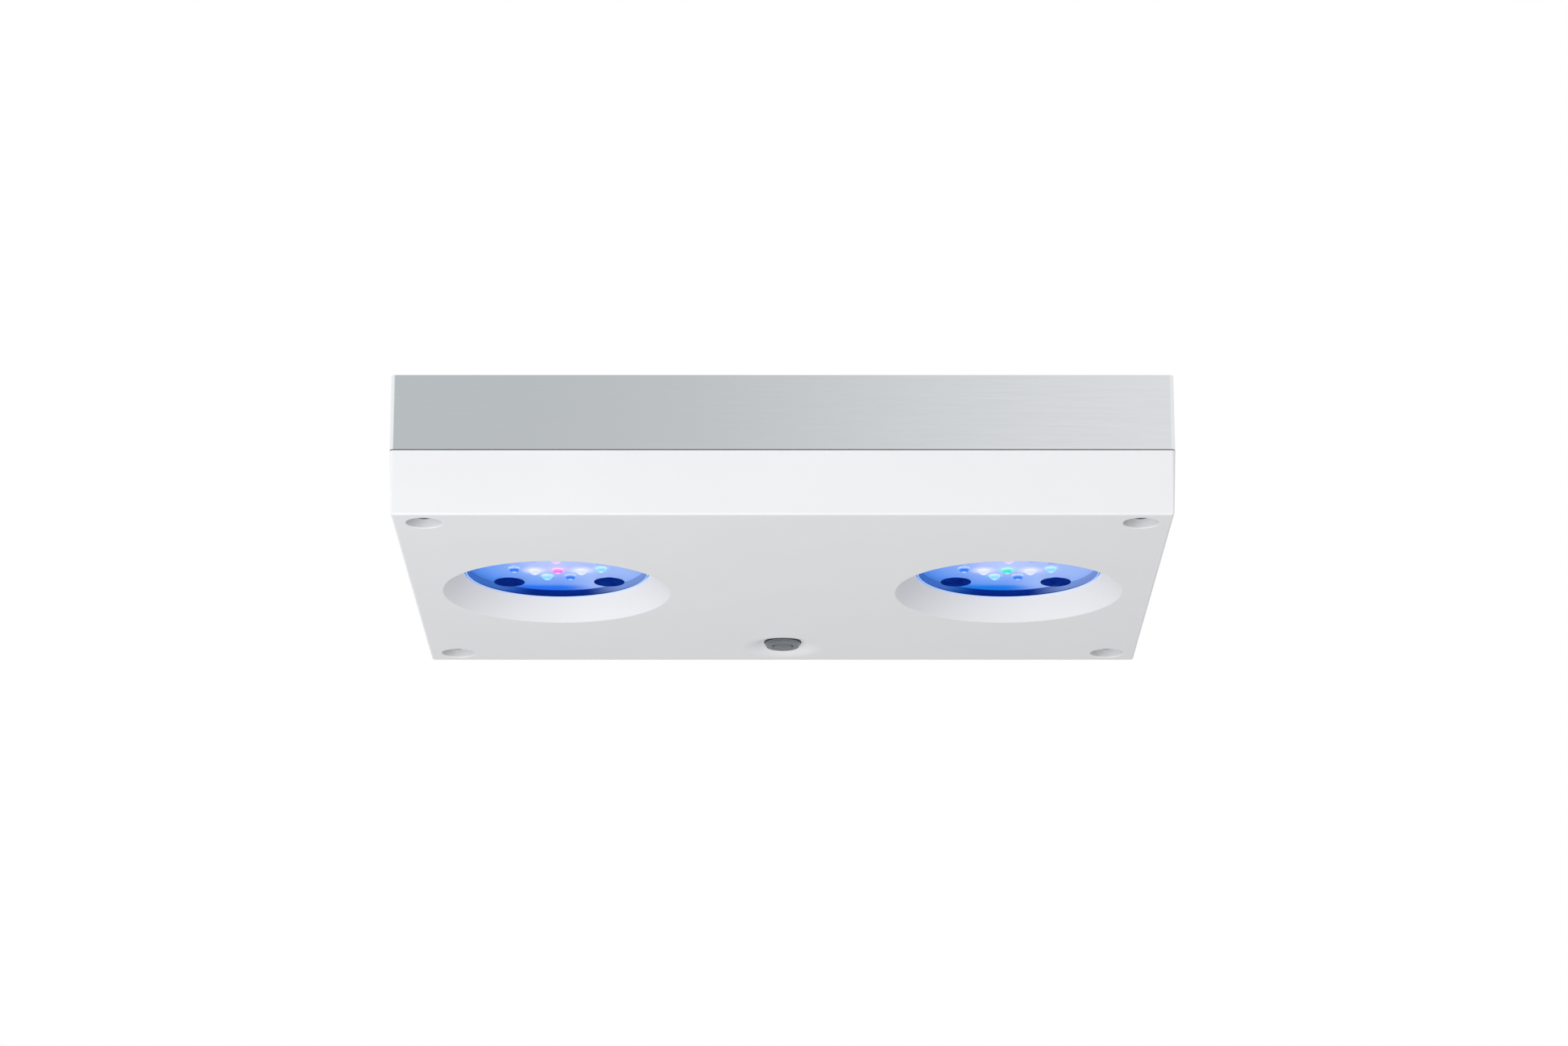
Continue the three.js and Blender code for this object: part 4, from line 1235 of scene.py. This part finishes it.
# ---------------------------------------------------------------- CAD nodes that stay
PLAIN_NODES = {
    "casing_gasket": GASKET,
    "heatsink": HEATSINK,
    "driver_board": CIRCUIT_BOARD,
    "fan_frame": BLACK_PLASTIC,
    "socket_nut": STEEL,
    "button_nut": STEEL,
    "button_spring": STEEL,
    "fan_lead": SHEATH,
    "button_lead": SHEATH,
    "power_lead": SHEATH,
    **{f"led_lead_{side}": SHEATH for side in SIDES},
    **{f"lens_seal_{side}": RUBBER for side in SIDES},
    **{f"thermal_pad_{side}": PAD for side in SIDES},
    **{f"corner_post_{corner}": HEATSINK for corner in CORNERS},
    **{f"board_support_{corner}": NYLON for corner in CORNERS},
}


def finish_plain_nodes():
    for node, material in PLAIN_NODES.items():
        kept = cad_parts[node]
        kept.data.materials.clear()
        kept.data.materials.append(material)


# ---------------------------------------------------------------- stage, light and camera
# Places here and FLOOR_DROP are in metres.
CAMERA_PLACE = (0.00055, -1.6468, -0.4634)
CAMERA_TILT = 16.58  # degrees upwards
FOCAL_LENGTH = 104.47
SENSOR_WIDTH = 36.0
FLOOR_DROP = 2.0
FLOOR_RADIUS = 30000.0
FLOOR_THICKNESS = 10.0


def camera():
    data = bpy.data.cameras.new("camera")
    data.sensor_width = SENSOR_WIDTH
    data.lens = FOCAL_LENGTH
    data.clip_start = 0.01
    data.clip_end = 100
    eye = new_object("camera", data)
    eye.location = CAMERA_PLACE
    eye.rotation_euler = (math.radians(90 + CAMERA_TILT), 0, 0)
    bpy.context.scene.camera = eye


def floor():
    disc = to_object("floor", rod(FLOOR_RADIUS, 0, -FLOOR_THICKNESS, 96))
    disc.location.z = -FLOOR_DROP
    paint = moulded("floor_paint", (0.82, 0.82, 0.83), 0.9, grain=200, variation=0.004)
    disc.data.materials.append(paint)


def lamp(name, place, size, power):
    """A round soft light, aimed at the middle of the underside. Metal doesn't mirror it."""
    data = bpy.data.lights.new(name, "AREA")
    data.shape = "DISK"
    data.size = size
    data.energy = power
    light = new_object(name, data)
    light.location = place
    light.rotation_euler = (-Vector(place)).to_track_quat("-Z", "Y").to_euler()
    light.visible_glossy = False


# Each lamp's place, its diameter and its power in watts.
LAMPS = {
    "key_low_left": ((-0.8, -0.5, -0.9), 0.6, 2.4),
    "key_left_front": ((-1.3, -1.6, -0.5), 1.2, 7.8),
    "key_low_front": ((-0.3, -1.2, -0.9), 0.8, 6.1),
    "fill_right": ((1.3, -1.5, 0.2), 1.0, 4.0),
    "back_fill": ((0.7, 1.8, 0.35), 1.2, 4.5),
}
ROOM_LIGHT_RIGHT = 0.5
ROOM_LIGHT_LEFT = 0.85
# What metal mirrors, by direction from the left (-1) to the right (1): brightness and coolness.
MIRRORED_ROOM = [
    (-0.5, 1.08, 0.0),
    (-0.24, 0.76, 0.03),
    (-0.09, 0.61, 0.05),
    (-0.03, 0.58, 0.045),
    (0.06, 0.93, 0.01),
    (0.3, 1.0, 0.0),
]


def studio():
    """A white room. Metal mirrors a dim patch a little to the left, so that it grows brighter
    towards the right, as bent sheet does beside a soft box."""
    scene = bpy.context.scene
    scene.view_settings.view_transform = "Standard"
    nodes = Nodes("studio", bpy.data.worlds, "Background")
    scene.world = nodes.made
    where = nodes.add("ShaderNodeTexCoord")
    split = nodes.add("ShaderNodeSeparateXYZ")
    nodes.link(where.outputs["Generated"], split.inputs[0])
    sideways = split.outputs["X"]
    mirrored = nodes.ramp(
        nodes.remap(sideways, -1, 1, 0, 1),
        *[
            ((side + 1) / 2, (level * (1 - coolness), level, level * (1 + 0.6 * coolness)))
            for side, level, coolness in MIRRORED_ROOM
        ],
    )
    room_light = nodes.remap(sideways, 0, -1, ROOM_LIGHT_RIGHT, ROOM_LIGHT_LEFT)
    ray = nodes.add("ShaderNodeLightPath")
    room = nodes.mix(ray.outputs["Is Glossy Ray"], room_light, mirrored)
    room = nodes.mix(ray.outputs["Is Camera Ray"], room, (1, 1, 1))
    nodes.link(room, nodes.shader.inputs["Color"])
    nodes.set(Strength=1)
    for name, (place, size, power) in LAMPS.items():
        lamp(name, place, size, power)


camera()
floor()
studio()
cover()
casing()
for side_name in SIDES:
    lens_piece(side_name)
    retainer(side_name)
    led_board(side_name)
    led_cluster(side_name)
for corner_name in CORNERS:
    cover_screw(corner_name)
    fan_screw(corner_name)
    hanger_insert(corner_name)
    for side_name in SIDES:
        board_screw(f"board_screw_{side_name}_{corner_name}")
button_bezel()
button_cap()
button_seal()
fan_rotor()
power_socket()
finish_plain_nodes()

bpy.context.view_layer.update()
